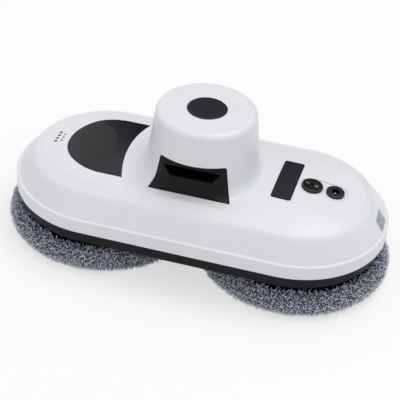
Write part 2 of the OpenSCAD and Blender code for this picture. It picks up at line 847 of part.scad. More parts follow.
// Plastic ring that carries the cloth, with clips that snap into the disc
module cleaning_ring(side) {
    color("#dcdde0")
    translate([side * disc_x, 0, 0]) {
        difference() {
            translate([0, 0, ring_z]) cylinder(r = disc_rim_r, h = ring_t);
            translate([0, 0, ring_z - over]) cylinder(r = ring_in_r, h = ring_t + 2 * over);
            for (turn = [15:30:345])
                rotate([0, 0, turn])
                    translate([(ring_in_r + disc_rim_r) / 2 + part_t, 0, ring_z + ring_t / 3])
                        cylinder(r = (disc_rim_r - ring_in_r) / 5, h = ring_t);
        }
        for (turn = [0:60:300])
            rotate([0, 0, turn])
                translate([ring_in_r + disc_t * 2 + drop_fit, -part_t + drop_fit, disc_z - over])
                    cube([part_t * 2 - 2 * drop_fit, part_t * 2 - 2 * drop_fit, disc_t * 0.8 + over]);
    }
}
module cleaning_ring_left() { cleaning_ring(-1); }
module cleaning_ring_right() { cleaning_ring(1); }

// Fluffy pad: flat on the glass, drawn in at the hole and bulging at the rim
module cloth(side) {
    rim = pad_h / 2;
    inner = ring_z / 2;
    color("#8d93a6")
    translate([side * disc_x, 0, 0])
        rotate_extrude() {
            translate([pad_hole_r + inner, 0])
                square([pad_r - rim - pad_hole_r - inner, ring_z]);
            intersection() {
                translate([pad_r - rim, rim]) circle(rim, $fn = 48);
                translate([pad_r - rim, 0]) square([rim, pad_h]);
            }
            translate([pad_hole_r + inner, inner]) circle(inner, $fn = 48);
        }
}
module cloth_left() { cloth(-1); }
module cloth_right() { cloth(1); }

// Grille across the hub's mouth
module inlet_grille(side) {
    grille_t = disc_t * 0.6;
    color("#2f3035")
    translate([side * disc_x, 0, disc_z + drop_fit]) {
        difference() {
            cylinder(r = suction_r - drop_fit, h = grille_t);
            translate([0, 0, -over])
                cylinder(r = suction_r - drop_fit - part_t / 2, h = grille_t + 2 * over);
        }
        for (turn = [0:45:135])
            rotate([0, 0, turn])
                translate([0, 0, grille_t / 2])
                    cube([2 * (suction_r - drop_fit) - part_t / 2, part_t / 2, grille_t], center = true);
        difference() {
            cylinder(r = suction_r * 0.6, h = grille_t);
            translate([0, 0, -over]) cylinder(r = suction_r * 0.6 - part_t / 2, h = grille_t + 2 * over);
        }
        cylinder(r = suction_r * 0.2, h = grille_t);
    }
}
module inlet_grille_left() { inlet_grille(-1); }
module inlet_grille_right() { inlet_grille(1); }

// Involute gear outline; the tooth thickness gives up half of the backlash
function involute(r, rb) = let (a = acos(min(1, rb / r))) tan(a) * 180 / PI - a;
function tooth_points(teeth) = let (
        rp = gear_m * teeth / 2,
        rb = rp * cos(pressure_angle),
        tip = rp + 0.8 * gear_m,
        root = rp - 1.1 * gear_m,
        start = max(rb, root),
        half = 90 / teeth - backlash / 4 / rp * 180 / PI,
        radii = [for (i = [0:4]) start + (tip - start) * i / 4],
        turn = [for (r = radii) half + involute(rp, rb) - involute(r, rb)])
    concat(
        [[root, -turn[0]]],
        [for (i = [0:4]) [radii[i], -turn[i]]],
        [for (i = [4:-1:0]) [radii[i], turn[i]]],
        [[root, turn[0]]]);
module gear(teeth, phase) {
    tooth = tooth_points(teeth);
    polygon([for (k = [0:teeth - 1], p = tooth) let (a = p[1] + phase + k * 360 / teeth)
        p[0] * [cos(a), sin(a)]]);
}

module drive_gear(turned) {
    web_r = (gear_bore_r + drive_r) / 2;
    color("ivory")
    rotate([0, 0, turned])
    translate([hub_place.x, 0, gear_z])
    difference() {
        linear_extrude(gear_w) gear(drive_teeth, 0);
        translate([0, 0, -over]) cylinder(r = gear_bore_r + run_fit, h = gear_w + 2 * over);
        for (turn = [0:60:300])
            rotate([0, 0, turn])
                translate([web_r, 0, -over])
                    cylinder(r = (drive_r - gear_bore_r) / 4, h = gear_w + 2 * over);
    }
}
module drive_gear_left() { drive_gear(0); }
module drive_gear_right() { drive_gear(180); }

module idler_gear(turned) {
    color("ivory")
    rotate([0, 0, turned])
    translate([idler_place.x, idler_place.y, gear_z])
    difference() {
        union() {
            linear_extrude(gear_w) gear(idler_teeth, idler_phase);
            translate([0, 0, -gear_clear / 4])
                cylinder(r = idler_pin_r * 2, h = gear_w + gear_clear / 2);
        }
        translate([0, 0, -over]) cylinder(r = idler_pin_r + run_fit, h = gear_w + 2 * over);
        for (turn = [0:72:288])
            rotate([0, 0, turn])
                translate([idler_r * 0.6, 0, -over])
                    cylinder(r = idler_r / 6, h = gear_w + 2 * over, $fn = 32);
    }
}
module idler_gear_left() { idler_gear(0); }
module idler_gear_right() { idler_gear(180); }

module idler_pins() {
    color("silver")
    for (turn = [0, 180])
        rotate([0, 0, turn])
            translate([idler_place.x, idler_place.y, floor_z + part_t / 2])
                cylinder(r = idler_pin_r, h = gear_plate_z + plate_t - floor_z - part_t / 2, $fn = 48);
}

// Pinion and its shaft, which runs up into the motor
shaft_r = 1.6;
shaft_up = 4;
module motor_pinion(turned) {
    color("goldenrod")
    rotate([0, 0, turned])
    translate([pinion_place.x, pinion_place.y, gear_z]) {
        linear_extrude(gear_w) gear(pinion_teeth, pinion_phase);
        cylinder(r = shaft_r, h = gear_w + gear_clear + plate_t + shaft_up, $fn = 48);
    }
}
module motor_pinion_left() { motor_pinion(0); }
module motor_pinion_right() { motor_pinion(180); }

// Gearbox plate over the idler and the pinion
motor_boss_r = 4;
motor_screw_ring = 8;
module gearbox_plate(turned) {
    color("#3a3b40")
    rotate([0, 0, turned])
    difference() {
        translate([0, 0, gear_plate_z])
            linear_extrude(plate_t)
                difference() {
                    hull() {
                        for (p = plate_posts) translate(p) circle(post_r + part_t / 2, $fn = 32);
                        translate(idler_place) circle(idler_pin_r + part_t, $fn = 32);
                        translate(pinion_place) circle(motor_screw_ring + part_t, $fn = 32);
                    }
                    for (p = plate_posts) translate(p) circle(screw_r + drop_fit, $fn = 24);
                    translate(idler_place) circle(idler_pin_r + run_fit, $fn = 32);
                    translate(pinion_place) circle(motor_boss_r + drop_fit, $fn = 32);
                    for (side = [-1, 1])
                        translate(pinion_place + side * [motor_screw_ring, 0])
                            circle(screw_r + drop_fit, $fn = 24);
                }
    }
}
module gearbox_plate_left() { gearbox_plate(0); }
module gearbox_plate_right() { gearbox_plate(180); }

// Drive motor: round can with flats, a front boss and two terminals
module drive_motor(turned) {
    flat = motor_r * 0.86;
    color("#b9bcc2")
    rotate([0, 0, turned])
    translate([pinion_place.x, pinion_place.y, gear_plate_z + plate_t])
    difference() {
        union() {
            intersection() {
                cylinder(r = motor_r, h = motor_h);
                translate([-motor_r, -flat, 0]) cube([2 * motor_r, 2 * flat, motor_h]);
            }
            translate([0, 0, -plate_t / 2]) cylinder(r = motor_boss_r, h = plate_t);
            for (side = [-1, 1])
                translate([side * motor_r / 2 - part_t / 2, 0, motor_h - over])
                    cube([part_t, plate_t / 2, over + 1.2]);
        }
        translate([0, 0, -plate_t]) cylinder(r = shaft_r + run_fit, h = shaft_up + plate_t + nest_fit);
        for (side = [-1, 1])
            translate([side * motor_screw_ring, 0, -over])
                cylinder(r = screw_r - nest_fit, h = 4 + over, $fn = 24);
    }
}
module drive_motor_left() { drive_motor(0); }
module drive_motor_right() { drive_motor(180); }

// Rubber seal between a turning hub and the duct
seal_lap = 2;
module hub_seal(side) {
    color("#303030")
    translate([side * disc_x, 0, duct_z - seal_lap])
    difference() {
        cylinder(r = gear_bore_r + nest_fit + part_t, h = seal_lap);
        translate([0, 0, -over]) cylinder(r = gear_bore_r + nest_fit, h = seal_lap + 2 * over);
    }
}
module hub_seal_left() { hub_seal(-1); }
module hub_seal_right() { hub_seal(1); }

// Duct from both hubs to the blower: a round chamber with two arms
module duct_plan(g) {
    circle(chamber_r + g);
    square([disc_pitch, duct_w + 2 * g], center = true);
    for (side = [-1, 1]) translate([side * disc_x, 0]) circle(mouth_r + g);
}
module suction_duct() {
    color("#2b2c31")
    difference() {
        union() {
            translate([0, 0, duct_z]) linear_extrude(duct_h) duct_plan(0);
            for (p = duct_posts)
                translate([p.x, p.y, duct_z]) cylinder(r = post_r + 1.5, h = part_t, $fn = 32);
        }
        translate([0, 0, duct_z + part_t]) linear_extrude(duct_h - 2 * part_t) duct_plan(-part_t);
        for (side = [-1, 1])
            translate([side * disc_x, 0, duct_z - over]) cylinder(r = suction_r, h = part_t + 2 * over);
        translate([0, 0, duct_z + part_t]) cylinder(r = eye_r + part_t, h = duct_h);
        for (p = duct_posts)
            translate([p.x, p.y, duct_z - over])
                cylinder(r = screw_r + drop_fit, h = part_t + 2 * over, $fn = 24);
        for (p = duct_posts)
            translate([p.x, p.y, duct_z + part_t]) cylinder(r = head_r + drop_fit, h = duct_h, $fn = 32);
    }
}

module blower_housing() {
    color("#34353a")
    translate([0, 0, blower_z])
    difference() {
        cylinder(r = blower_r, h = deck_z - blower_z);
        translate([0, 0, part_t]) cylinder(r = blower_r - part_t, h = deck_z - blower_z);
        translate([0, 0, -over]) cylinder(r = eye_r, h = part_t + 2 * over);
    }
}

// Impeller: shroud below, backward-curved blades and a back plate with its hub
hub_boss_r = 5;
impeller_shaft_r = 2;
function blade_angle(r) = -blade_sweep * (r - hub_boss_r) / (impeller_r - hub_boss_r);
module blade_outline() {
    steps = 8;
    first = eye_r * 0.72;
    last = impeller_r - over / 2;
    mid = [for (i = [0:steps]) let (r = first + (last - first) * i / steps) r];
    // Half of the blade's thickness as an angle about the axis
    side = [for (r = mid) asin(blade_t / 2 / r) * 1.3];
    polygon(concat(
        [for (i = [0:steps]) let (a = blade_angle(mid[i]) - side[i]) mid[i] * [cos(a), sin(a)]],
        [for (i = [steps:-1:0]) let (a = blade_angle(mid[i]) + side[i]) mid[i] * [cos(a), sin(a)]]));
}
module impeller() {
    rim_h_share = 0.55;
    plate_z = shroud_t + blade_h;
    nose_h = blade_h * 0.7;
    color("#e3e4e6")
    translate([0, 0, impeller_z]) {
        intersection() {
            linear_extrude(plate_z + plate_t / 2)
                for (k = [0:blade_count - 1]) rotate([0, 0, k * 360 / blade_count]) blade_outline();
            rotate_extrude()
                polygon([
                    [0, shroud_t / 2], [eye_r, shroud_t / 2],
                    [impeller_r, plate_z - blade_h * rim_h_share],
                    [impeller_r, plate_z + plate_t / 2], [0, plate_z + plate_t / 2]]);
        }
        // Shroud cone, from the eye to the rim
        rotate_extrude()
            polygon([
                [eye_r, 0], [eye_r + shroud_t, 0],
                [impeller_r, plate_z - blade_h * rim_h_share - shroud_t],
                [impeller_r, plate_z - blade_h * rim_h_share + shroud_t / 4],
                [eye_r + shroud_t / 2, shroud_t], [eye_r, shroud_t]]);
        difference() {
            union() {
                translate([0, 0, plate_z]) cylinder(r = impeller_r, h = plate_t);
                translate([0, 0, plate_z - nose_h])
                    cylinder(r1 = hub_boss_r * 0.6, r2 = hub_boss_r * 1.8, h = nose_h + plate_t / 2);
            }
            translate([0, 0, plate_z - blade_h])
                cylinder(r = impeller_shaft_r + run_fit / 2, h = 2 * blade_h);
        }
    }
}

// Steel shaft of the blower: it carries the impeller and runs in the motor
module blower_shaft() {
    low = impeller_z + shroud_t + blade_h * 0.2;
    color("silver")
        translate([0, 0, low])
            cylinder(r = impeller_shaft_r, h = motor_z + blower_motor_h / 2 - low, $fn = 48);
}

// Diffuser deck over the impeller, with curved ports round the motor's seat
module diffuser_deck() {
    port_in = blower_motor_r + 1.5;
    port_out = blower_r - part_t - 1.5;
    color("#34353a")
    difference() {
        union() {
            translate([0, 0, deck_z]) cylinder(r = blower_r, h = deck_t);
            translate([0, 0, deck_z - impeller_gap / 2])
                cylinder(r = blower_r - part_t - drop_fit, h = deck_t / 2);
            difference() {
                translate([0, 0, motor_z - over / 2])
                    cylinder(r = blower_motor_r + 1.4, h = deck_t + over / 2);
                translate([0, 0, motor_z]) cylinder(r = blower_motor_r + drop_fit, h = deck_t + over);
            }
        }
        translate([0, 0, deck_z - over]) cylinder(r = impeller_shaft_r * 2, h = deck_t * 3);
        translate([0, 0, deck_z - over])
            linear_extrude(deck_t + 2 * over)
                for (k = [0:11])
                    rotate([0, 0, k * 30])
                        polygon([
                            port_in * [cos(2), sin(2)], port_out * [cos(8), sin(8)],
                            port_out * [cos(19), sin(19)], port_out * [cos(30), sin(30)],
                            port_in * [cos(24), sin(24)], port_in * [cos(13), sin(13)]]);
    }
}

// Blower motor: can with cooling slots and an end cap
module blower_motor() {
    color("#8e9299")
    translate([0, 0, motor_z])
    difference() {
        union() {
            rotate_extrude()
                polygon(concat([[0, 0], [blower_motor_r, 0], [blower_motor_r, blower_motor_h - 4]],
                    bezier([blower_motor_r, blower_motor_h - 4], [blower_motor_r, blower_motor_h - 1.5],
                        [blower_motor_r - 4, blower_motor_h - 1.5], 3),
                    [[damper_r - part_t - drop_fit - 2, blower_motor_h - 1.5],
                        [damper_r - part_t - drop_fit - 2, blower_motor_h],
                        [0, blower_motor_h]]));
        }
        translate([0, 0, -over])
            cylinder(r = impeller_shaft_r + run_fit, h = blower_motor_h / 2 + 2 * over);
        for (turn = [0:45:315])
            rotate([0, 0, turn])
                translate([blower_motor_r - 1.2, -1.5, blower_motor_h / 3])
                    cube([3, 3, blower_motor_h / 3]);
    }
}

// Rubber ring between the motor and the tower's ceiling
module motor_damper() {
    color("#2e2e2e")
    translate([0, 0, damper_z - 1.5])
    difference() {
        cylinder(r = damper_r + 1, h = damper_h + 1.5);
        translate([0, 0, -over]) cylinder(r = damper_r - part_t - 2, h = damper_h + 3 * over);
    }
}

module board_plan(places, g) {
    hull() for (p = places) translate(p) circle(post_r + g, $fn = 32);
}

module main_board() {
    color("darkgreen")
    translate([0, 0, main_board_z])
    difference() {
        union() {
            linear_extrude(board_t) board_plan(main_posts, 1);
            // Processor, driver chips and connectors
            translate(concat(hub_place - drive_r * [0.22, 0.22], board_t))
                cube(drive_r * [0.39, 0.39, 0.04]);
            for (i = [0:2])
                translate(concat(hub_place + drive_r * [0.36 * i - 0.56, -0.78], board_t))
                    cube(drive_r * [0.19, 0.14, 0.04]);
            for (i = [0:2])
                translate(concat(hub_place + drive_r * [0.33 * i - 0.44, 0.56], board_t))
                    cube(drive_r * [0.25, 0.17, 0.17]);
            translate(concat(hub_place + drive_r * [0.47, -0.06], board_t))
                cylinder(r = 0.1 * drive_r, h = 0.22 * drive_r, $fn = 32);
        }
        for (p = main_posts)
            translate([p.x, p.y, -over]) cylinder(r = screw_r + drop_fit, h = board_t + 2 * over, $fn = 24);
    }
}

// Infrared receiver behind the dark panel, standing on the main board
module ir_receiver() {
    color("#1b1b1d")
    translate([hub_place.x + 0.61 * drive_r, -0.44 * drive_r, main_board_z + board_t]) {
        translate([-ir_w / 2, -0.4 * ir_w, 0]) cube([ir_w, 0.8 * ir_w, 1.4 * ir_w]);
        intersection() {
            translate([0, 0, 0.7 * ir_w])
                rotate([0, 90, 0])
                    cylinder(r = 0.64 * ir_w, h = ir_w, center = true, $fn = 32);
            translate([-ir_w / 2, -ir_w, ir_w / 10]) cube([ir_w, 0.64 * ir_w, 1.2 * ir_w]);
        }
    }
}

// The buzzer's case ends just under the cover, so the sound holes look dark
buzzer_r = 1.9 * sound_step;
buzzer_h = deck_at(sound_x + 1.5 * sound_step) - 2 * shell_t - main_board_z - board_t;
module buzzer() {
    color("#18181a")
    translate([sound_step / 2 - sound_x, 0, main_board_z + board_t])
    difference() {
        cylinder(r = buzzer_r, h = buzzer_h);
        translate([0, 0, 0.8 * buzzer_h]) cylinder(r = 0.2 * buzzer_r, h = buzzer_h, $fn = 32);
    }
}

power_y = board_post_out + 2.6;
module power_board() {
    color("darkgreen")
    translate([0, 0, power_board_z])
    difference() {
        union() {
            linear_extrude(board_t) board_plan(power_posts, 1);
            translate([disc_x - 11, 2 - power_y, board_t]) cylinder(r = 4, h = 11, $fn = 32);
            translate([disc_x + 5, -power_y, board_t]) cube([10, 7, 9]);
            translate([disc_x - head_r, power_posts[2].y + head_r + nest_fit, board_t])
                cube([2.5 * head_r, 2 * part_t, part_t]);
        }
        for (p = power_posts)
            translate([p.x, p.y, -over]) cylinder(r = screw_r + drop_fit, h = board_t + 2 * over, $fn = 24);
    }
}

// Tray and battery pack over the right drive gear
module battery_tray() {
    color("#3a3b40")
    difference() {
        union() {
            translate([0, 0, tray_z])
                linear_extrude(plate_t)
                    hull() {
                        for (p = tray_posts) translate(p) circle(post_r + 1, $fn = 32);
                        translate(battery_place - [2, 2])
                            square([battery_l + 4, battery_w / 2]);
                    }
            translate([battery_place.x - drop_fit - part_t, battery_place.y - drop_fit, tray_z])
                cube([part_t, battery_w - 4, plate_t + 5]);
            translate([battery_place.x + battery_l + drop_fit, battery_place.y - drop_fit, tray_z])
                cube([part_t, battery_w - 4, plate_t + 5]);
        }
        for (p = tray_posts)
            translate([p.x, p.y, tray_z - over])
                cylinder(r = screw_r + drop_fit, h = plate_t + 2 * over, $fn = 24);
    }
}

module battery_pack() {
    cell_r = battery_h / 2;
    color("royalblue")
    translate([battery_place.x, battery_place.y, tray_z + plate_t])
        rotate([90, 0, 90])
            linear_extrude(battery_l) {
                for (y = [cell_r, battery_w - cell_r]) translate([y, cell_r]) circle(cell_r);
                translate([cell_r, 0]) square([battery_w - 2 * cell_r, battery_h]);
            }
}

// A pan-head screw with its head upward, or downward when flipped
module screw(length, flipped = false) {
    mirror([0, 0, flipped ? 1 : 0]) {
        translate([0, 0, -length]) cylinder(r = screw_r - nest_fit - run_fit, h = length, $fn = 24);
        difference() {
            cylinder(r = head_r, h = head_h, $fn = 32);
            translate([0, 0, head_h / 2]) cylinder(r = screw_r, h = head_h, $fn = 6);
        }
    }
}

module case_screws() {
    color("silver")
    for (p = boss_places)
        translate([p.x, p.y, floor_z + head_h]) screw(boss_z - floor_z - head_h + 1.5 * boss_r, true);
}
module plate_screws() {
    color("silver")
    for (turn = [0, 180], p = plate_posts)
        rotate([0, 0, turn]) translate([p.x, p.y, gear_plate_z + plate_t]) screw(5);
}
module duct_screws() {
    color("silver")
    for (p = duct_posts) translate([p.x, p.y, duct_z + part_t]) screw(5);
}
module board_screws() {
    color("silver") {
        for (p = main_posts) translate([p.x, p.y, main_board_z + board_t]) screw(5);
        for (p = power_posts) translate([p.x, p.y, power_board_z + board_t]) screw(5);
        for (p = tray_posts) translate([p.x, p.y, tray_z + plate_t]) screw(5);
    }
}

top_cover();
tower_badge();
front_vent();
rear_vent();
side_panel();
switch_housing();
switch_rocker();
socket_housing();
socket_pin();
base_chassis();
disc_bearing_left();
disc_bearing_right();
wheel_disc_left();
wheel_disc_right();
cleaning_ring_left();
cleaning_ring_right();
cloth_left();
cloth_right();
inlet_grille_left();
inlet_grille_right();
drive_gear_left();
drive_gear_right();
idler_gear_left();
idler_gear_right();
idler_pins();
motor_pinion_left();
motor_pinion_right();
gearbox_plate_left();
gearbox_plate_right();
drive_motor_left();
drive_motor_right();
hub_seal_left();
hub_seal_right();
suction_duct();
blower_housing();
impeller();
blower_shaft();
diffuser_deck();
blower_motor();
motor_damper();
main_board();
ir_receiver();
buzzer();
power_board();
battery_tray();
battery_pack();
case_screws();
plate_screws();
duct_screws();
board_screws();
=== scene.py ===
"""Window cleaning robot: finishes, pads, label, painted shade in the sound holes, switch marks,
stage and camera.
"""
import math

import bmesh
import bpy
from bpy.props import FloatProperty, FloatVectorProperty, PointerProperty
from mathutils import Matrix, Vector
from mathutils.bvhtree import BVHTree


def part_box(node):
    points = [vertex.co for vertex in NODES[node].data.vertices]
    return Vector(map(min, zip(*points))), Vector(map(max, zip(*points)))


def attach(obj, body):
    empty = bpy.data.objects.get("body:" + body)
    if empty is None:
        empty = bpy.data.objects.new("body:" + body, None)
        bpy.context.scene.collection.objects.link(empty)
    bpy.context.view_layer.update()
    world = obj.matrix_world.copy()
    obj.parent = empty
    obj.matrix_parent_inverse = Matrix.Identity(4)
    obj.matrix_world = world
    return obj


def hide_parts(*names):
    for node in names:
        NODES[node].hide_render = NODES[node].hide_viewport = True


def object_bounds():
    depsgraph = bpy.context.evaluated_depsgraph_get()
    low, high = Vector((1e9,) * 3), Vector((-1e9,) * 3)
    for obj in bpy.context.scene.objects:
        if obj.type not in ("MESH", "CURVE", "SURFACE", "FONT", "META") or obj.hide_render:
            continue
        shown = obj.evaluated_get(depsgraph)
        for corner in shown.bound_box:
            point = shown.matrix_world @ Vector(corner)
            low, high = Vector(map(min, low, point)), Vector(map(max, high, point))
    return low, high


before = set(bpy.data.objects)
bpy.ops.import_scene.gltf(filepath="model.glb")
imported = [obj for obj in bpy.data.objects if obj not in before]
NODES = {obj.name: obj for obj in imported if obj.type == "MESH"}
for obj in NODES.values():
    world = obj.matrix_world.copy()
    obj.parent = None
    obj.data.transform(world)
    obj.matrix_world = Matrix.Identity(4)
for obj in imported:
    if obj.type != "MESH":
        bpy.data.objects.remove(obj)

bl_info = {
    "name": "Window Cleaning Robot",
    "version": (1, 0, 0),
    "blender": (4, 5, 0),
    "location": "View3D > Sidebar > Robot",
    "description": "Dresses the packed window cleaning robot and sets its stage",
    "category": "Object",
}

MM = 0.001
CAD_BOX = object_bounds()
SIDES = ("left", "right")


def linear(code):
    """Turns an sRGB hex colour to Blender's linear values."""
    parts = [int(code[i:i + 2], 16) / 255 for i in (0, 2, 4)]
    return [p / 12.92 if p <= 0.04045 else ((p + 0.055) / 1.055) ** 2.4 for p in parts]


def colour(code, name, text):
    """Colour property from an sRGB hex value."""
    return FloatVectorProperty(name=name, description=text, subtype="COLOR", size=3,
                               min=0, max=1, default=linear(code))


def length(mm, name, text):
    """Length property from millimetres."""
    return FloatProperty(name=name, description=text, unit="LENGTH", subtype="DISTANCE",
                         default=mm * MM, min=0, precision=5)


class RobotColours(bpy.types.PropertyGroup):
    """Colours of the robot's finishes."""
    cover: colour("DFE1E6", "Cover", "White of the top cover")
    gloss: colour("0B0D13", "Gloss black", "Badge and side panel")
    trim: colour("0E0E11", "Trim", "Vent bezels, switch and socket")
    chassis: colour("0F1013", "Chassis", "Lower housing")
    ring: colour("26272B", "Cleaning ring", "Rings and wheel discs")
    # Two yarn shades mixed at random; pile_dark, darkened by ROOT_SHADE, also gives the painted
    # shade at the roots
    pile_light: colour("ECF0FB", "Pile tips", "Lit tips of the pad's pile")
    pile_dark: colour("C4CBDE", "Pile roots", "Roots and darker yarn of the pile")
    label: colour("1A1A1E", "Label", "Bare rating plate")
    marks: colour("8D8E92", "Switch marks", "On and off marks of the rocker")
    floor: colour("F7F7F7", "Floor", "Studio floor")


class RobotSizes(bpy.types.PropertyGroup):
    """Sizes of the pieces that are made here."""
    tuft_length: length(2.35, "Tuft length", "Free length of one tuft of pile")
    tuft_width: length(0.82, "Tuft width", "Thickness of a tuft near its root")
    tuft_gap: length(0.78, "Tuft gap", "Least distance between two tufts")
    pad_voxel: length(3.2, "Pad voxel", "Voxel size of the pad's body")
    pad_swell: length(0.9, "Pad swell", "Most that the pad's body may swell")
    label_w: length(15, "Label width", "Short side of the label")
    label_l: length(48, "Label length", "Long side of the label")
    label_t: length(0.3, "Label thickness", "Thickness of the label")
    label_r: length(1.9, "Label corner", "Corner radius of the label")
    label_x: length(64, "Label place", "Distance of the label from the tower's axis")
    label_y: length(0.8, "Label offset", "Distance of the label behind the long axis")
    mark_l: length(2.7, "Mark length", "Length of the on mark")
    mark_w: length(0.55, "Mark width", "Stroke of both marks")
    key_power: FloatProperty(name="Key lamp", description="Power of the key lamp",
                             subtype="POWER", unit="POWER", default=10.5)
    fill_power: FloatProperty(name="Fill lamp", description="Power of the fill lamp",
                              subtype="POWER", unit="POWER", default=1.2)
    sky: FloatProperty(name="Sky", description="Strength of the room's light", default=0.66)


def settings():
    """The colours and sizes that the user can change."""
    return bpy.context.scene.robot_colours, bpy.context.scene.robot_sizes


# Node and mesh helpers

def add(tree, kind, inputs=None, **values):
    """Adds a node, gives it its settings, and sets or links its inputs."""
    node = tree.nodes.new(kind)
    for key, value in values.items():
        setattr(node, key, value)
    for key, value in (inputs or {}).items():
        if isinstance(value, bpy.types.NodeSocket):
            tree.links.new(value, node.inputs[key])
        else:
            node.inputs[key].default_value = value
    return node


def rgba(value):
    """A colour with full alpha, as a socket takes it."""
    return (*value, 1.0)


def new_material(name, shader, build=None):
    """Makes a material round one Principled shader; build adds its pattern."""
    material = bpy.data.materials.new(name)
    material.use_nodes = True
    tree = material.node_tree
    tree.nodes.clear()
    surface = add(tree, "ShaderNodeBsdfPrincipled", shader)
    add(tree, "ShaderNodeOutputMaterial", {"Surface": surface.outputs[0]})
    if build:
        build(tree, surface)
    return material


def place_mm(tree, scale=(1, 1, 1)):
    """Object coordinates in millimetres, so that a scale is one over a real size."""
    coords = add(tree, "ShaderNodeTexCoord")
    return add(tree, "ShaderNodeMapping", {
        "Vector": coords.outputs["Object"], "Scale": [s / MM for s in scale]}).outputs[0]


def noise(tree, place, size_mm, detail=2.0, roughness=0.5):
    """Noise whose blobs are about size_mm across."""
    return add(tree, "ShaderNodeTexNoise", {
        "Vector": place, "Scale": 1 / size_mm, "Detail": detail,
        "Roughness": roughness}).outputs[0]


def remap(tree, value, low, high, start=0.3, end=0.7):
    """Spreads a value between two results."""
    return add(tree, "ShaderNodeMapRange", {
        "Value": value, "From Min": start, "From Max": end,
        "To Min": low, "To Max": high}).outputs[0]


def blend_colours(tree, factor, first, second):
    """Mixes two colours by a factor of 0 to 1."""
    mix = add(tree, "ShaderNodeMix", {0: factor, 6: first, 7: second}, data_type="RGBA")
    return mix.outputs[2]


def bump(tree, surface, height, depth_mm):
    """Raises a height of 0 to 1 by a depth in millimetres."""
    node = add(tree, "ShaderNodeBump", {
        "Height": height, "Distance": depth_mm * MM, "Strength": 1.0})
    tree.links.new(node.outputs[0], surface.inputs["Normal"])


def moulded(name, base, roughness, grain_mm, depth_mm,
            ior=1.53, spread=0.06, drift=0.06, **more):
    """Injection-moulded plastic: a fine grain, uneven gloss and a slight drift of colour."""
    def build(tree, surface):
        place = place_mm(tree)
        grain = noise(tree, place, grain_mm, detail=3.0, roughness=0.6)
        patch = noise(tree, place, size_mm=26, detail=3.0)
        darker = [c * (1 - drift) for c in base]
        lighter = [min(1, c * (1 + drift / 2)) for c in base]
        tree.links.new(blend_colours(tree, patch, rgba(darker), rgba(lighter)),
                       surface.inputs["Base Color"])
        uneven = add(tree, "ShaderNodeMath", {0: grain, 1: patch}, operation="MULTIPLY")
        tree.links.new(remap(tree, uneven.outputs[0], roughness - spread, roughness + spread,
                             start=0.1, end=0.4), surface.inputs["Roughness"])
        bump(tree, surface, grain, depth_mm)
    return new_material(name, {"IOR": ior, **more}, build)


WAVE_LENGTH = 0.31  # length of one wave of the wave texture at a scale of 1


def turned_metal(name, base, roughness, ring_mm=0.35, dull=0.0):
    """Machined metal: fine circular tool lines with a little dull film."""
    def build(tree, surface):
        place = place_mm(tree)
        lines = add(tree, "ShaderNodeTexWave", {
            "Vector": place, "Scale": WAVE_LENGTH / ring_mm, "Distortion": 1.5, "Detail": 2.0},
            wave_type="RINGS", rings_direction="Z").outputs["Fac"]
        film = noise(tree, place, size_mm=9, detail=4.0)
        dark = [c * (0.72 - dull) for c in base]
        tree.links.new(blend_colours(tree, remap(tree, film, 0, 1), rgba(base), rgba(dark)),
                       surface.inputs["Base Color"])
        tree.links.new(remap(tree, film, roughness - 0.07, roughness + 0.1),
                       surface.inputs["Roughness"])
        bump(tree, surface, lines, depth_mm=0.012)
    return new_material(name, {"Metallic": 1.0}, build)


# Materials

# A blasted mould leaves black plastic with about half the mirror glare of a polished one
DULL = {"Specular IOR Level": 0.17}


def white_abs(colours):
    # ABS moulded in a fine-blasted tool: an even soft gloss with a faint orange peel
    return moulded("moulded_white_abs", colours.cover, roughness=0.36, grain_mm=1.6,
                   depth_mm=0.006, spread=0.04, drift=0.012)


def gloss_black(colours):
    # Black PMMA over a dark print: a deep gloss, softened by fine scratches and haze
    def build(tree, surface):
        place = place_mm(tree)
        peel = noise(tree, place, size_mm=7, detail=1.0)
        haze = noise(tree, place, size_mm=16, detail=4.0)
        tree.links.new(blend_colours(tree, haze, rgba(colours.gloss),
                                     rgba([c * 1.6 for c in colours.gloss])),
                       surface.inputs["Base Color"])
        tree.links.new(remap(tree, haze, 0.17, 0.25), surface.inputs["Roughness"])
        bump(tree, surface, peel, depth_mm=0.01)
    return new_material("polished_black_pmma", {
        "IOR": 1.49, "Specular IOR Level": 0.36}, build)


def trim_abs(colours):
    # ABS with a spark-eroded grain: charcoal that goes pale where light grazes it
    return moulded("grained_charcoal_abs", colours.trim, roughness=0.42, grain_mm=0.55,
                   depth_mm=0.022, spread=0.08, **{"Specular IOR Level": 0.15})


def switch_abs(colours):
    # ABS from a polished tool: the same charcoal with a wet-looking highlight on its rims
    return moulded("polished_charcoal_abs", colours.trim, roughness=0.24, grain_mm=0.9,
                   depth_mm=0.006, spread=0.05, **{"Specular IOR Level": 0.4})


def chassis_abs(colours):
    # Glass-filled ABS, lightly grained: a flat dark band under the white cover
    return moulded("moulded_black_abs", colours.chassis, roughness=0.48, grain_mm=0.7,
                   depth_mm=0.02, spread=0.07, **DULL)


def ring_abs(colours):
    # Tough ABS discs: a little greyer than the chassis, with flow marks
    return moulded("moulded_grey_abs", colours.ring, roughness=0.5, grain_mm=0.9,
                   depth_mm=0.025, spread=0.1, drift=0.14, **DULL)


# Tufts are coarser than fibres and cast less shade on their roots, so the roots are darker
ROOT_SHADE = 0.17


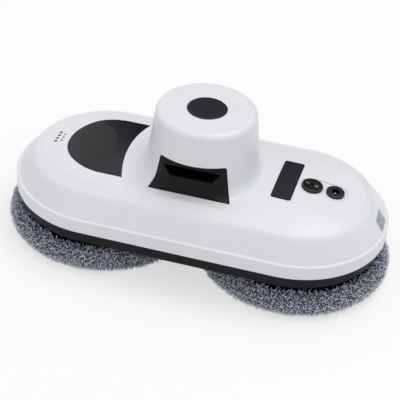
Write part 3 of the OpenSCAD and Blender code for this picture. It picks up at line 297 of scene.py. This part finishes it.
def polyester_pile(colours):
    # Polyester chenille of two yarn shades, matt with a soft sheen; painted shade darkens the
    # roots below paler tips
    def build(tree, surface):
        place = place_mm(tree)
        shade = add(tree, "ShaderNodeAttribute", attribute_name="shade").outputs["Fac"]
        reach = add(tree, "ShaderNodeAttribute", attribute_name="reach").outputs["Fac"]
        # Fibres are finer than the render shows, so their streaks are drawn 0.5 mm wide
        fibre = noise(tree, place, size_mm=0.5, roughness=0.7)
        clump = noise(tree, place, size_mm=8)
        tone = add(tree, "ShaderNodeMath", {0: remap(tree, fibre, -0.25, 0.25), 1: shade},
                   operation="ADD").outputs[0]
        tone = add(tree, "ShaderNodeMath", {0: remap(tree, clump, -0.15, 0.15), 1: tone},
                   operation="ADD").outputs[0]
        yarn = blend_colours(tree, tone, rgba(colours.pile_dark), rgba(colours.pile_light))
        # Painted shade: towards the root of each tuft the yarn turns to pile_dark times
        # ROOT_SHADE
        painted_root_shade = blend_colours(tree, remap(tree, reach, 0.0, 1.0, start=0.1, end=0.7),
                             rgba([c * ROOT_SHADE for c in colours.pile_dark]), yarn)
        tree.links.new(painted_root_shade, surface.inputs["Base Color"])
        bump(tree, surface, fibre, depth_mm=0.12)
    return new_material("polyester_chenille_pile", {
        "Roughness": 0.95, "IOR": 1.5, "Specular IOR Level": 0.25, "Sheen Weight": 0.5,
        "Sheen Roughness": 0.4, "Sheen Tint": rgba(linear("C9CFDD"))}, build)


def acetal(colours):
    # Natural acetal gears: milky, slippery and slightly see-through at thin teeth
    return moulded("natural_acetal", linear("E4E1D6"), roughness=0.3, grain_mm=1.1,
                   depth_mm=0.006, ior=1.48, drift=0.03, **{
                       "Subsurface Weight": 0.15, "Subsurface Radius": (0.002, 0.0018, 0.0014)})


def steel(colours):
    # Zinc-plated steel screws, pins and bearings: pale, fine tool lines, slightly dull
    return turned_metal("zinc_plated_steel", linear("C4C6C8"), roughness=0.3)


def brass(colours):
    # Hobbed brass pinions: warm yellow with tool lines
    return turned_metal("hobbed_brass", linear("D8B468"), roughness=0.26, ring_mm=0.25)


def motor_can(colours):
    # Drawn steel cans, blackened against rust: near-black satin with a darker handling film
    return turned_metal("blackened_drawn_steel", linear("2A2A2D"), roughness=0.4,
                        ring_mm=0.6, dull=0.1)


def inner_abs(colours):
    # Plain ABS mouldings inside the body: unpainted charcoal with flow marks
    return moulded("inner_charcoal_abs", linear("2E2F33"), roughness=0.45, grain_mm=1.0,
                   depth_mm=0.02, drift=0.12)


def rubber(colours):
    # Moulded nitrile: dead black, slightly dusty
    return moulded("nitrile_rubber", linear("17171A"), roughness=0.78, grain_mm=0.8,
                   depth_mm=0.05, ior=1.52, drift=0.25)


def impeller_nylon(colours):
    # Glass-filled nylon dyed black: dry, charcoal, with short fibre streaks
    return moulded("black_glass_filled_nylon", linear("222326"), roughness=0.55,
                   grain_mm=0.6, depth_mm=0.03, drift=0.2)


def board(colours):
    # FR4 laminate under solder mask: green gloss over square copper runs
    def build(tree, surface):
        place = place_mm(tree)
        runs = add(tree, "ShaderNodeTexBrick", {
            "Vector": place, "Scale": 0.35, "Color1": (0, 0, 0, 1),
            "Color2": (0.35, 0.35, 0.35, 1), "Mortar": (1, 1, 1, 1),
            "Mortar Size": 0.04}).outputs["Fac"]
        tree.links.new(blend_colours(tree, runs, rgba(linear("0F4A2A")),
                                     rgba(linear("2C7A48"))), surface.inputs["Base Color"])
        tree.links.new(remap(tree, noise(tree, place, size_mm=4), 0.22, 0.36),
                       surface.inputs["Roughness"])
        bump(tree, surface, runs, depth_mm=0.03)
    return new_material("solder_masked_laminate", {"IOR": 1.55}, build)


def battery_wrap(colours):
    # Shrunk PVC sleeve: blue, shiny and faintly wrinkled along the cells
    def build(tree, surface):
        place = place_mm(tree, scale=(0.15, 1, 1))
        creases = noise(tree, place, size_mm=2.5, detail=3.0, roughness=0.6)
        tree.links.new(blend_colours(tree, creases, rgba(linear("1D3F7D")),
                                     rgba(linear("3463AE"))), surface.inputs["Base Color"])
        tree.links.new(remap(tree, creases, 0.18, 0.34), surface.inputs["Roughness"])
        bump(tree, surface, creases, depth_mm=0.12)
    return new_material("shrunk_pvc_sleeve", {"IOR": 1.54}, build)


def label_film(colours):
    # Polyester film without print: a dull dark face with a fine leathery emboss
    return moulded("matt_polyester_film", colours.label, roughness=0.46, grain_mm=0.45,
                   depth_mm=0.01, spread=0.05, **DULL)


THREAD = 0.2  # millimetres


def painted_hole_shade(colours):
    # Painted shade for the sound holes: a dead black cloth, with woven threads drawn coarse
    # enough to show
    def build(tree, surface):
        threads = add(tree, "ShaderNodeTexChecker", {
            "Vector": place_mm(tree), "Scale": 1 / THREAD, "Color1": rgba(linear("060607")),
            "Color2": rgba(linear("141416"))})
        tree.links.new(threads.outputs["Color"], surface.inputs["Base Color"])
        bump(tree, surface, threads.outputs["Fac"], depth_mm=0.03)
    return new_material("woven_black_gauze", {
        "Roughness": 0.9, "IOR": 1.5, "Specular IOR Level": 0.2}, build)


def mark_ink(colours):
    # Pad-printed grey ink on the rocker: flat, thin and slightly broken
    return moulded("pad_printed_ink", colours.marks, roughness=0.55, grain_mm=0.35,
                   depth_mm=0.01, drift=0.2)


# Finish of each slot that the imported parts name, and of the trim that needs its own
FINISHES = {
    "shell_white": white_abs, "gloss_black": gloss_black, "black_plastic": chassis_abs,
    "ring_plastic": ring_abs, "gear_plastic": acetal, "steel": steel, "pinion_brass": brass,
    "inner_plastic": inner_abs, "motor_can": motor_can, "seal_rubber": rubber,
    "impeller_plastic": impeller_nylon, "board_green": board, "battery_wrap": battery_wrap,
}
TRIM_NODES = {
    "front_vent": trim_abs, "rear_vent": trim_abs, "inlet_grille_left": trim_abs,
    "inlet_grille_right": trim_abs, "switch_housing": switch_abs, "switch_rocker": trim_abs,
    "socket_housing": switch_abs,
}


# Mesh helpers

def finish_piece(name, bm, material, smooth=40.0):
    """Turns a bmesh into an object at the origin with its faces outwards."""
    bmesh.ops.remove_doubles(bm, verts=bm.verts, dist=1e-7)
    bmesh.ops.recalc_face_normals(bm, faces=bm.faces)
    mesh = bpy.data.meshes.new(name)
    bm.to_mesh(mesh)
    bm.free()
    mesh.materials.append(material)
    for face in mesh.polygons:
        face.use_smooth = True
    mesh.set_sharp_from_angle(angle=math.radians(smooth))
    piece = bpy.data.objects.new(name, mesh)
    bpy.context.scene.collection.objects.link(piece)
    return piece


def bake(piece):
    """Applies every modifier of a piece to its mesh."""
    graph = bpy.context.evaluated_depsgraph_get()
    mesh = bpy.data.meshes.new_from_object(piece.evaluated_get(graph))
    old = piece.data
    piece.modifiers.clear()
    piece.data = mesh
    mesh.name = piece.name
    bpy.data.meshes.remove(old)


def surface_tree(name):
    """Search tree over a CAD node's faces, to lay thin pieces on it."""
    bm = bmesh.new()
    bm.from_mesh(NODES[name].data)
    tree = BVHTree.FromBMesh(bm)
    bm.free()
    return tree


def drop_on(tree, point, lift):
    """Height of a surface under a point, plus a lift; raises where there is none."""
    start = Vector((point.x, point.y, CAD_BOX[1].z + 10 * MM))
    hit = tree.ray_cast(start, Vector((0, 0, -1)))[0]
    if hit is None:
        raise RuntimeError(f"nothing under {point[:]}")
    return hit.z + lift


# Pads

# Lengths from here to the stage are in millimetres
PAD_AXIS = 74.0     # axis of a pad from the middle
PAD_FLOOR = 1.1     # below this height the glass flattens the pile
FLATTEN = 0.18      # share of its depth that is left to what the glass flattens
GLASS_GAP = 0.05    # least height over the glass
TIP_R = 73.85       # farthest reach of a tip, so that the two pads stay apart
RING_R = 65.3       # least radius of the pile beside the cleaning ring
DISC_TOP = 17.6     # height up to which ring and disc hold the pile out
INNER_R = 45        # inside this radius the pile keeps below the ring
RING_FLOOR = 8.2    # height of the pile under the ring

# Pad in radius and height: hole, underside, rim, the lip that hooks over the disc, top side
PAD_SECTION = (
    (36.4, 4.6), (37.4, 2.9), (39.4, 2.1), (52, 1.9), (63, 1.9), (67.2, 2.7), (70.0, 5.2),
    (71.4, 8.6), (71.0, 11.8), (69.5, 14.2), (67.0, 16.5), (64.6, 18.1), (62.9, 18.5),
    (62.1, 17.9), (62.9, 17.2), (65.4, 16.9), (65.5, 12.4), (65.5, 9.2), (64.6, 7.9),
    (52, 7.8), (39.6, 7.8), (37.4, 6.9))
PAD_STEPS = 96
FINE = 1.6          # the body's voxels are this much finer than the size that is set

# Faces that touch ring and disc grow nothing, and the flattened underside grows less
HIDDEN_R = (39.5, RING_R + 0.6)
HIDDEN_Z = (6, 17.4)
UNDERSIDE = 2.6
UNDERSIDE_SHARE = 0.55

CLOTH_PRESSURE = 4.0
CLOTH_FRAMES = 12

# Kinds of tuft: how far each bends over, and how thick it is
TUFTS = ((0.3, 1.0), (0.6, 0.85), (0.9, 1.1), (1.15, 0.75))
# Steps along a tuft: share of its length, and width against the step before
TUFT_STEPS = ((0.55, 1.15), (1.0, 0.36))
TUFT_ROOT = 0.42    # radius of the root against the tuft's thickness
TUFT_SIDEWAYS = 0.3
TUFT_TILT = 0.9
ROOT_DEPTH = 0.3    # how deep a root stands in the body
LEAN = 0.62         # most that a tuft leans either way, in radians
SHORTEST, LONGEST = 0.72, 1.18
DENSITY = 2.3e6     # tufts a square metre before the least distance thins them


def pad_body(name, centre, sizes):
    """The pad's filled body: a spun section, remeshed, swollen a little by cloth pressure."""
    bm = bmesh.new()
    loop = [bm.verts.new((r * MM, 0, z * MM)) for r, z in PAD_SECTION]
    edges = [bm.edges.new((a, b)) for a, b in zip(loop, loop[1:] + loop[:1])]
    bmesh.ops.spin(bm, geom=loop + edges, cent=(0, 0, 0), axis=(0, 0, 1),
                   angle=math.tau, steps=PAD_STEPS, use_merge=True, use_duplicate=False)
    bmesh.ops.translate(bm, verts=bm.verts, vec=(centre * MM, 0, 0))
    bmesh.ops.recalc_face_normals(bm, faces=bm.faces)
    mesh = bpy.data.meshes.new(name)
    bm.to_mesh(mesh)
    bm.free()
    body = bpy.data.objects.new(name, mesh)
    bpy.context.scene.collection.objects.link(body)
    remesh = body.modifiers.new("remesh", "REMESH")
    remesh.mode = "VOXEL"
    remesh.voxel_size = sizes.pad_voxel / FINE
    bake(body)
    swell(body, sizes.pad_swell)
    grows = body.data.attributes.new("grows", "FLOAT", "POINT")
    for vertex, mark in zip(body.data.vertices, grows.data):
        r = math.hypot(vertex.co.x - centre * MM, vertex.co.y) / MM
        z = vertex.co.z / MM
        hidden = HIDDEN_R[0] < r < HIDDEN_R[1] and HIDDEN_Z[0] < z < HIDDEN_Z[1]
        mark.value = 0.0 if hidden else UNDERSIDE_SHARE if z < UNDERSIDE else 1.0
    return body


def swell(body, most):
    """Blows the body up with cloth pressure and holds each point within a distance."""
    before = [v.co.copy() for v in body.data.vertices]
    cloth = body.modifiers.new("cloth", "CLOTH")
    cloth.settings.use_pressure = True
    cloth.settings.uniform_pressure_force = CLOTH_PRESSURE
    cloth.settings.effector_weights.gravity = 0.0
    cloth.settings.quality = 5
    scene = bpy.context.scene
    for step in range(1, CLOTH_FRAMES + 1):
        scene.frame_set(step)
    bake(body)
    scene.frame_set(1)
    for vertex, was in zip(body.data.vertices, before):
        move = vertex.co - was
        if move.length > most:
            vertex.co = was + move.normalized() * most


def tuft_meshes(sizes, material):
    """A few bent, tapered tufts; reach runs from 0 at the root to 1 at the tip."""
    collection = bpy.data.collections.new("tufts")
    made = []
    for index, (bend, fat) in enumerate(TUFTS):
        bm = bmesh.new()
        reach = bm.verts.layers.float.new("reach")
        bmesh.ops.create_circle(bm, segments=3, cap_ends=True,
                                radius=sizes.tuft_width * TUFT_ROOT * fat)
        bmesh.ops.translate(bm, verts=bm.verts, vec=(0, 0, -ROOT_DEPTH * MM))
        front = list(bm.edges)
        for part, scale in TUFT_STEPS:
            grown = bmesh.ops.extrude_edge_only(bm, edges=front)["geom"]
            ring = [g for g in grown if isinstance(g, bmesh.types.BMVert)]
            front = [g for g in grown if isinstance(g, bmesh.types.BMEdge)
                     and all(v in ring for v in g.verts)]
            middle = sum((v.co for v in ring), Vector()) / len(ring)
            target = sizes.tuft_length * Vector(
                (bend * part * part, TUFT_SIDEWAYS * bend * part, part))
            tilt = Matrix.Rotation(bend * part * TUFT_TILT, 3, "Y")
            for v in ring:
                v.co = target + tilt @ ((v.co - middle) * scale)
                v[reach] = part
        bmesh.ops.holes_fill(bm, edges=front, sides=3)
        mesh = bpy.data.meshes.new(f"tuft_{index}")
        bmesh.ops.recalc_face_normals(bm, faces=bm.faces)
        bm.to_mesh(mesh)
        bm.free()
        mesh.materials.append(material)
        for face in mesh.polygons:
            face.use_smooth = True
        tuft = bpy.data.objects.new(f"tuft_{index}", mesh)
        collection.objects.link(tuft)
        made.append(tuft)
    return collection, made


def pile_tree(tufts, sizes):
    """Geometry nodes that stand tufts on the body, lean them at random and join all."""
    tree = bpy.data.node_groups.new("pile", "GeometryNodeTree")
    for side in ("INPUT", "OUTPUT"):
        tree.interface.new_socket("Geometry", in_out=side, socket_type="NodeSocketGeometry")
    start = add(tree, "NodeGroupInput")
    grows = add(tree, "GeometryNodeInputNamedAttribute", {"Name": "grows"}, data_type="FLOAT")
    dots = add(tree, "GeometryNodeDistributePointsOnFaces", {
        "Mesh": start.outputs[0], "Distance Min": sizes.tuft_gap, "Density Max": DENSITY,
        "Density Factor": grows.outputs[0], "Seed": 7}, distribute_method="POISSON")
    turn = add(tree, "FunctionNodeRandomValue", {
        0: (-LEAN, -LEAN, 0), 1: (LEAN, LEAN, math.tau), "Seed": 3}, data_type="FLOAT_VECTOR")
    as_turn = add(tree, "FunctionNodeEulerToRotation", {0: turn.outputs[0]})
    spun = add(tree, "FunctionNodeRotateRotation", {
        "Rotation": dots.outputs["Rotation"], "Rotate By": as_turn.outputs[0]},
        rotation_space="LOCAL")
    size = add(tree, "FunctionNodeRandomValue", {2: SHORTEST, 3: LONGEST, "Seed": 5})
    source = add(tree, "GeometryNodeCollectionInfo", {
        "Collection": tufts, "Separate Children": True, "Reset Children": True})
    placed = add(tree, "GeometryNodeInstanceOnPoints", {
        "Points": dots.outputs["Points"], "Instance": source.outputs[0],
        "Pick Instance": True, "Rotation": spun.outputs[0], "Scale": size.outputs[1]})
    shade = add(tree, "FunctionNodeRandomValue", {2: 0.0, 3: 1.0, "Seed": 11})
    kept = add(tree, "GeometryNodeStoreNamedAttribute", {
        "Geometry": placed.outputs[0], "Name": "shade", "Value": shade.outputs[1]},
        data_type="FLOAT", domain="INSTANCE")
    real = add(tree, "GeometryNodeRealizeInstances", {"Geometry": kept.outputs[0]})
    joined = add(tree, "GeometryNodeJoinGeometry")
    tree.links.new(real.outputs[0], joined.inputs[0])
    tree.links.new(start.outputs[0], joined.inputs[0])
    add(tree, "NodeGroupOutput", {0: joined.outputs[0]})
    return tree


def make_pads():
    """The two pads: a swollen body each, grown over with tufts, in place of the plain cloth."""
    colours, sizes = settings()
    material = polyester_pile(colours)
    tufts, loose = tuft_meshes(sizes, material)
    tree = pile_tree(tufts, sizes)
    for side, centre in zip(SIDES, (-PAD_AXIS, PAD_AXIS)):
        pad = pad_body(f"pile_pad_{side}", centre, sizes)
        pad.data.materials.clear()
        pad.data.materials.append(material)
        scatter = pad.modifiers.new("pile", "NODES")
        scatter.node_group = tree
        bake(pad)
        settle(pad, centre)
        pad.data.materials.clear()
        pad.data.materials.append(material)
        for face in pad.data.polygons:
            face.material_index = 0
            face.use_smooth = True
        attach(pad, f"disc_{side}")
        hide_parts(f"cloth_{side}")
    for tuft in loose:
        bpy.data.objects.remove(tuft)
    bpy.data.collections.remove(tufts)


def settle(pad, centre):
    """Presses the pile flat on the glass and keeps it off the ring and the other pad."""
    for vertex in pad.data.vertices:
        x, y, z = vertex.co.x / MM - centre, vertex.co.y / MM, vertex.co.z / MM
        r = math.hypot(x, y)
        if z < PAD_FLOOR:
            z = PAD_FLOOR + (z - PAD_FLOOR) * FLATTEN
            vertex.co.z = max(z, GLASS_GAP) * MM
        if r < INNER_R and z > RING_FLOOR:
            vertex.co.z = RING_FLOOR * MM
        elif r > TIP_R or (INNER_R < r < RING_R and RING_FLOOR < z < DISC_TOP):
            share = (TIP_R if r > TIP_R else RING_R) / r
            vertex.co.x = (centre + x * share) * MM
            vertex.co.y = y * share * MM


# Label, painted shade in the sound holes, and switch marks

LABEL_TURN = -1.8   # degrees that the label is laid askew
LABEL_EDGE = 0.4    # width of its bevelled edge against its thickness
SKIN = 0.02         # how far a thin piece stands off its ground, or reaches into it
# Rows of sound holes: place along the body, number of holes, radius of a dot behind one
SOUND_ROWS = ((-112.6, 4, 1.14), (-108.6, 3, 0.87))
SOUND_STEP = 4.0    # from hole to hole in a row
SOUND_BESIDE = 1.6  # where the cover's height beside a hole is read, in radii
# The dots in the sound holes are painted shade: a dead black sheet under the cover
HOLE_SHADE_DEPTH = 0.3   # depth of the gauze below the cover, and its thickness
INK_HEIGHT = 0.07
MARKS = (("on_mark", -3.4), ("off_mark", 3.2))  # offsets from the rocker's middle


def thicken(bm, height):
    """Gives a thin sheet a thickness: a copy of its faces moves up, or down if negative."""
    bmesh.ops.recalc_face_normals(bm, faces=bm.faces)
    if sum(f.normal.z for f in bm.faces) < 0:
        bmesh.ops.reverse_faces(bm, faces=bm.faces)
    moved = bmesh.ops.extrude_face_region(bm, geom=bm.faces[:])["geom"]
    moved = [g for g in moved if isinstance(g, bmesh.types.BMVert)]
    bmesh.ops.translate(bm, verts=moved, vec=(0, 0, height))


def make_label():
    """Bare label on the deck, bent over its crown, with a fine bevelled edge."""
    colours, sizes = settings()
    bm = bmesh.new()
    bmesh.ops.create_grid(bm, x_segments=8, y_segments=24, size=0.5)
    bmesh.ops.scale(bm, verts=bm.verts, vec=(sizes.label_w, sizes.label_l, 1))
    corners = [v for v in bm.verts if len(v.link_faces) == 1]
    bmesh.ops.bevel(bm, geom=corners, affect="VERTICES", offset=sizes.label_r, segments=5,
                    profile=0.5, material=-1)
    bmesh.ops.rotate(bm, verts=bm.verts, cent=(0, 0, 0),
                     matrix=Matrix.Rotation(math.radians(LABEL_TURN), 3, "Z"))
    bmesh.ops.translate(bm, verts=bm.verts, vec=(sizes.label_x, sizes.label_y, 0))
    cover = surface_tree("top_cover")
    for v in bm.verts:
        v.co.z = drop_on(cover, v.co, SKIN * MM)
    thicken(bm, sizes.label_t)
    label = finish_piece("rating_label", bm, label_film(colours), 30)
    edge = label.modifiers.new("edge", "BEVEL")
    edge.width = sizes.label_t * LABEL_EDGE
    edge.segments = 2
    edge.limit_method = "ANGLE"
    bake(label)
    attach(label, "base")


def make_hole_shade():
    """Dark dots of painted shade just inside the two rows of sound holes, where the holes fall
    into shade.
    """
    colours, _ = settings()
    cover = surface_tree("top_cover")
    bm = bmesh.new()
    for x, count, r in SOUND_ROWS:
        for i in range(count):
            y = SOUND_STEP * (i - (count - 1) / 2)
            beside = [drop_on(cover, Vector((x + side * SOUND_BESIDE * r, y, 0)) * MM, 0)
                      for side in (-1, 1)]
            dot = bmesh.ops.create_circle(
                bm, segments=20, radius=r * MM, cap_ends=True)["verts"]
            bmesh.ops.translate(bm, verts=dot, vec=(
                x * MM, y * MM, sum(beside) / 2 - HOLE_SHADE_DEPTH * MM))
    thicken(bm, -HOLE_SHADE_DEPTH * MM)
    hole_shade = finish_piece("sound_gauze", bm, painted_hole_shade(colours), 30)
    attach(hole_shade, "base")


def make_switch_marks():
    """A bar for on and a ring for off, printed on the rocker's two slopes."""
    colours, sizes = settings()
    lo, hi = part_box("switch_rocker")
    middle = (lo + hi) / 2
    rocker = surface_tree("switch_rocker")
    ink = mark_ink(colours)
    for name, offset in MARKS:
        bm = bmesh.new()
        if name == "on_mark":
            bmesh.ops.create_grid(bm, x_segments=6, y_segments=2, size=0.5)
            bmesh.ops.scale(bm, verts=bm.verts, vec=(sizes.mark_l, sizes.mark_w, 1))
        else:
            bmesh.ops.create_circle(bm, segments=28, radius=sizes.mark_l / 2)
            inner = bmesh.ops.extrude_edge_only(bm, edges=bm.edges[:])["geom"]
            inner = [g for g in inner if isinstance(g, bmesh.types.BMVert)]
            share = 1 - 2 * sizes.mark_w / sizes.mark_l
            bmesh.ops.scale(bm, verts=inner, vec=(share, share, 1))
        bmesh.ops.translate(bm, verts=bm.verts, vec=(middle.x + offset * MM, middle.y, 0))
        for v in bm.verts:
            v.co.z = drop_on(rocker, v.co, -SKIN * MM)
        thicken(bm, INK_HEIGHT * MM)
        mark = finish_piece(name, bm, ink, 30)
        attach(mark, "rocker")


# CAD nodes

def dress_nodes():
    """Gives every CAD node that stays the finish of its slot."""
    colours, _ = settings()
    made = {slot: build(colours) for slot, build in FINISHES.items()}
    trims = {build: build(colours) for build in (trim_abs, switch_abs)}
    for name, node in NODES.items():
        for slot in node.material_slots:
            key = slot.material.name.split(".")[0] if slot.material else "black_plastic"
            if name in TRIM_NODES:
                slot.material = trims[TRIM_NODES[name]]
            elif key in made:
                slot.material = made[key]
            elif key != "pile":
                raise RuntimeError(f"no finish for {key} on {name}")


# Stage

# Angles in degrees, distances in metres, lens and sensor in millimetres
CAMERA_TURN, CAMERA_RISE, CAMERA_ROLL = 12.30, 37.01, 4.65
CAMERA_FAR = 0.900
CAMERA_AIM = Vector((0.000105, 0, 0.03365))
CAMERA_LENS = 107.549
CAMERA_SENSOR = 36.0
KEY_PLACE, KEY_SIZE = (0.3, 0.3, 1.55), (1.1, 0.9)
FILL_PLACE, FILL_SIZE = (-0.9, -1.1, 0.8), (1.0, 1.0)
FLOOR_HALF = 6.0
FLOOR_GRAIN = 180   # in millimetres
FLOOR_GLOW = 0.62   # how far the floor is plain white to the camera, rather than lit paint
FLAG_FAR = 1.25
FLAG_SIZE = (4.0, 1.5)
FLAG_RISE = (0.68, 1.35)    # heights between which the card thins out
FLAG_LEFT = (-0.8, -0.35)   # places between which it thins out to the left


def make_camera():
    """Camera at the photograph's angle, rolled as the photograph is."""
    turn, rise = math.radians(CAMERA_TURN), math.radians(CAMERA_RISE)
    roll = math.radians(CAMERA_ROLL)
    back = Vector((math.sin(turn) * math.cos(rise), -math.cos(turn) * math.cos(rise),
                   math.sin(rise)))
    right = (-back).cross(Vector((0, 0, 1))).normalized()
    up = right.cross(-back)
    across = right * math.cos(roll) + up * math.sin(roll)
    upward = up * math.cos(roll) - right * math.sin(roll)
    data = bpy.data.cameras.new("camera")
    data.lens = CAMERA_LENS
    data.sensor_width = CAMERA_SENSOR
    data.clip_start = 0.01
    data.clip_end = 50
    camera = bpy.data.objects.new("camera", data)
    camera.matrix_world = Matrix.Translation(CAMERA_AIM + back * CAMERA_FAR) @ Matrix(
        (across, upward, back)).transposed().to_4x4()
    bpy.context.scene.collection.objects.link(camera)
    bpy.context.scene.camera = camera


def make_lamp(name, place, power, size):
    """Soft square lamp that points at the robot."""
    data = bpy.data.lights.new(name, "AREA")
    data.energy = power
    data.shape = "RECTANGLE"
    data.size, data.size_y = size
    lamp = bpy.data.objects.new(name, data)
    away = Vector(place) - CAMERA_AIM
    aimed = away.to_track_quat("Z", "Y").to_matrix().to_4x4()
    lamp.matrix_world = Matrix.Translation(place) @ aimed
    bpy.context.scene.collection.objects.link(lamp)


def make_world(sky):
    """Even room light; the camera and gloss see it as plain white."""
    world = bpy.data.worlds.new("studio")
    bpy.context.scene.world = world
    world.use_nodes = True
    tree = world.node_tree
    tree.nodes.clear()
    path = add(tree, "ShaderNodeLightPath")
    seen = add(tree, "ShaderNodeMath", {0: path.outputs["Is Camera Ray"],
                                        1: path.outputs["Is Glossy Ray"]},
               operation="MAXIMUM")
    seen = add(tree, "ShaderNodeMath", {0: seen.outputs[0],
                                        1: path.outputs["Is Transmission Ray"]},
               operation="MAXIMUM")
    room = add(tree, "ShaderNodeBackground", {"Color": (1, 1, 1, 1), "Strength": sky})
    white = add(tree, "ShaderNodeBackground", {"Color": (1, 1, 1, 1), "Strength": 1.0})
    mixed = add(tree, "ShaderNodeMixShader", {0: seen.outputs[0], 1: room.outputs[0],
                                              2: white.outputs[0]})
    add(tree, "ShaderNodeOutputWorld", {"Surface": mixed.outputs[0]})


def make_flag():
    """Dark card behind the robot that only gloss sees; it thins out upwards and to the left,
    so glossy black goes from light at the front left to dark at the back."""
    bm = bmesh.new()
    bmesh.ops.create_grid(bm, x_segments=1, y_segments=1, size=0.5)
    bmesh.ops.scale(bm, verts=bm.verts, vec=(*FLAG_SIZE, 1))
    bmesh.ops.rotate(bm, verts=bm.verts, cent=(0, 0, 0),
                     matrix=Matrix.Rotation(math.pi / 2, 3, "X"))
    bmesh.ops.translate(bm, verts=bm.verts, vec=(0, FLAG_FAR, FLAG_SIZE[1] / 2))
    material = bpy.data.materials.new("black_felt_card")
    material.use_nodes = True
    tree = material.node_tree
    tree.nodes.clear()
    coords = add(tree, "ShaderNodeTexCoord")
    split = add(tree, "ShaderNodeSeparateXYZ", {0: coords.outputs["Object"]})
    upward = remap(tree, split.outputs["Z"], 0.0, 1.0, *FLAG_RISE)
    leftward = remap(tree, split.outputs["X"], 1.0, 0.0, *FLAG_LEFT)
    thin = add(tree, "ShaderNodeMath", {0: upward, 1: leftward}, operation="MAXIMUM")
    felt = add(tree, "ShaderNodeBsdfDiffuse", {"Color": (0.01, 0.01, 0.012, 1)})
    clear = add(tree, "ShaderNodeBsdfTransparent")
    mixed = add(tree, "ShaderNodeMixShader", {
        0: thin.outputs[0], 1: felt.outputs[0], 2: clear.outputs[0]})
    add(tree, "ShaderNodeOutputMaterial", {"Surface": mixed.outputs[0]})
    card = finish_piece("flag", bm, material)
    card.visible_camera = card.visible_diffuse = card.visible_shadow = False
    card.visible_transmission = False


def make_floor(colours):
    """Plain pale floor, white to the camera where no shadow falls."""
    bm = bmesh.new()
    bmesh.ops.create_grid(bm, x_segments=1, y_segments=1, size=FLOOR_HALF)
    material = bpy.data.materials.new("painted_studio_floor")
    material.use_nodes = True
    tree = material.node_tree
    tree.nodes.clear()
    path = add(tree, "ShaderNodeLightPath")
    grain = noise(tree, place_mm(tree), FLOOR_GRAIN)
    paint = blend_colours(tree, grain, rgba(colours.floor),
                          rgba([c * 0.99 for c in colours.floor]))
    matt = add(tree, "ShaderNodeBsdfDiffuse", {"Color": paint})
    glow = add(tree, "ShaderNodeEmission", {"Color": (1, 1, 1, 1), "Strength": 1.0})
    share = add(tree, "ShaderNodeMath", {0: path.outputs["Is Camera Ray"], 1: FLOOR_GLOW},
                operation="MULTIPLY")
    mixed = add(tree, "ShaderNodeMixShader", {0: share.outputs[0], 1: matt.outputs[0],
                                              2: glow.outputs[0]})
    add(tree, "ShaderNodeOutputMaterial", {"Surface": mixed.outputs[0]})
    floor = finish_piece("floor", bm, material)


def make_stage():
    """Camera, world, lamps, floor and card."""
    colours, sizes = settings()
    make_camera()
    make_world(sizes.sky)
    make_lamp("key", KEY_PLACE, sizes.key_power, KEY_SIZE)
    make_lamp("fill", FILL_PLACE, sizes.fill_power, FILL_SIZE)
    make_floor(colours)
    make_flag()
    bpy.context.scene.view_settings.view_transform = "Standard"


# Add-on

class ROBOT_OT_finishes(bpy.types.Operator):
    """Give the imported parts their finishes"""
    bl_idname = "robot.finishes"
    bl_label = "Finish Packed Parts"

    def execute(self, context):
        dress_nodes()
        return {"FINISHED"}


class ROBOT_OT_pads(bpy.types.Operator):
    """Make the two pile pads"""
    bl_idname = "robot.pads"
    bl_label = "Pile Pads"

    def execute(self, context):
        make_pads()
        return {"FINISHED"}


class ROBOT_OT_label(bpy.types.Operator):
    """Lay the bare label on the cover"""
    bl_idname = "robot.label"
    bl_label = "Label"

    def execute(self, context):
        make_label()
        return {"FINISHED"}


class ROBOT_OT_hole_shade(bpy.types.Operator):
    """Set dark dots of painted shade in the sound holes"""
    bl_idname = "robot.gauze"
    bl_label = "Sound Hole Shade"

    def execute(self, context):
        make_hole_shade()
        return {"FINISHED"}


class ROBOT_OT_marks(bpy.types.Operator):
    """Print the on and off marks on the rocker"""
    bl_idname = "robot.marks"
    bl_label = "Switch Marks"

    def execute(self, context):
        make_switch_marks()
        return {"FINISHED"}


class ROBOT_OT_stage(bpy.types.Operator):
    """Set the floor, lamps and camera"""
    bl_idname = "robot.stage"
    bl_label = "Stage"

    def execute(self, context):
        make_stage()
        return {"FINISHED"}


OPERATORS = (ROBOT_OT_finishes, ROBOT_OT_pads, ROBOT_OT_label, ROBOT_OT_hole_shade,
             ROBOT_OT_marks, ROBOT_OT_stage)


class ROBOT_PT_panel(bpy.types.Panel):
    """Steps, sizes and colours of the robot"""
    bl_idname = "ROBOT_PT_panel"
    bl_label = "Window Cleaning Robot"
    bl_space_type = "VIEW_3D"
    bl_region_type = "UI"
    bl_category = "Robot"

    def draw(self, context):
        for step in OPERATORS:
            self.layout.operator(step.bl_idname)
        for group in (context.scene.robot_colours, context.scene.robot_sizes):
            box = self.layout.box()
            for name in group.__annotations__:
                box.prop(group, name)


CLASSES = (RobotColours, RobotSizes, *OPERATORS, ROBOT_PT_panel)


def register():
    for cls in CLASSES:
        bpy.utils.register_class(cls)
    bpy.types.Scene.robot_colours = PointerProperty(type=RobotColours)
    bpy.types.Scene.robot_sizes = PointerProperty(type=RobotSizes)


def unregister():
    del bpy.types.Scene.robot_colours
    del bpy.types.Scene.robot_sizes
    for cls in reversed(CLASSES):
        bpy.utils.unregister_class(cls)


def main():
    register()
    for step in OPERATORS:
        family, name = step.bl_idname.split(".")
        getattr(getattr(bpy.ops, family), name)()


if __name__ == "__main__":
    main()
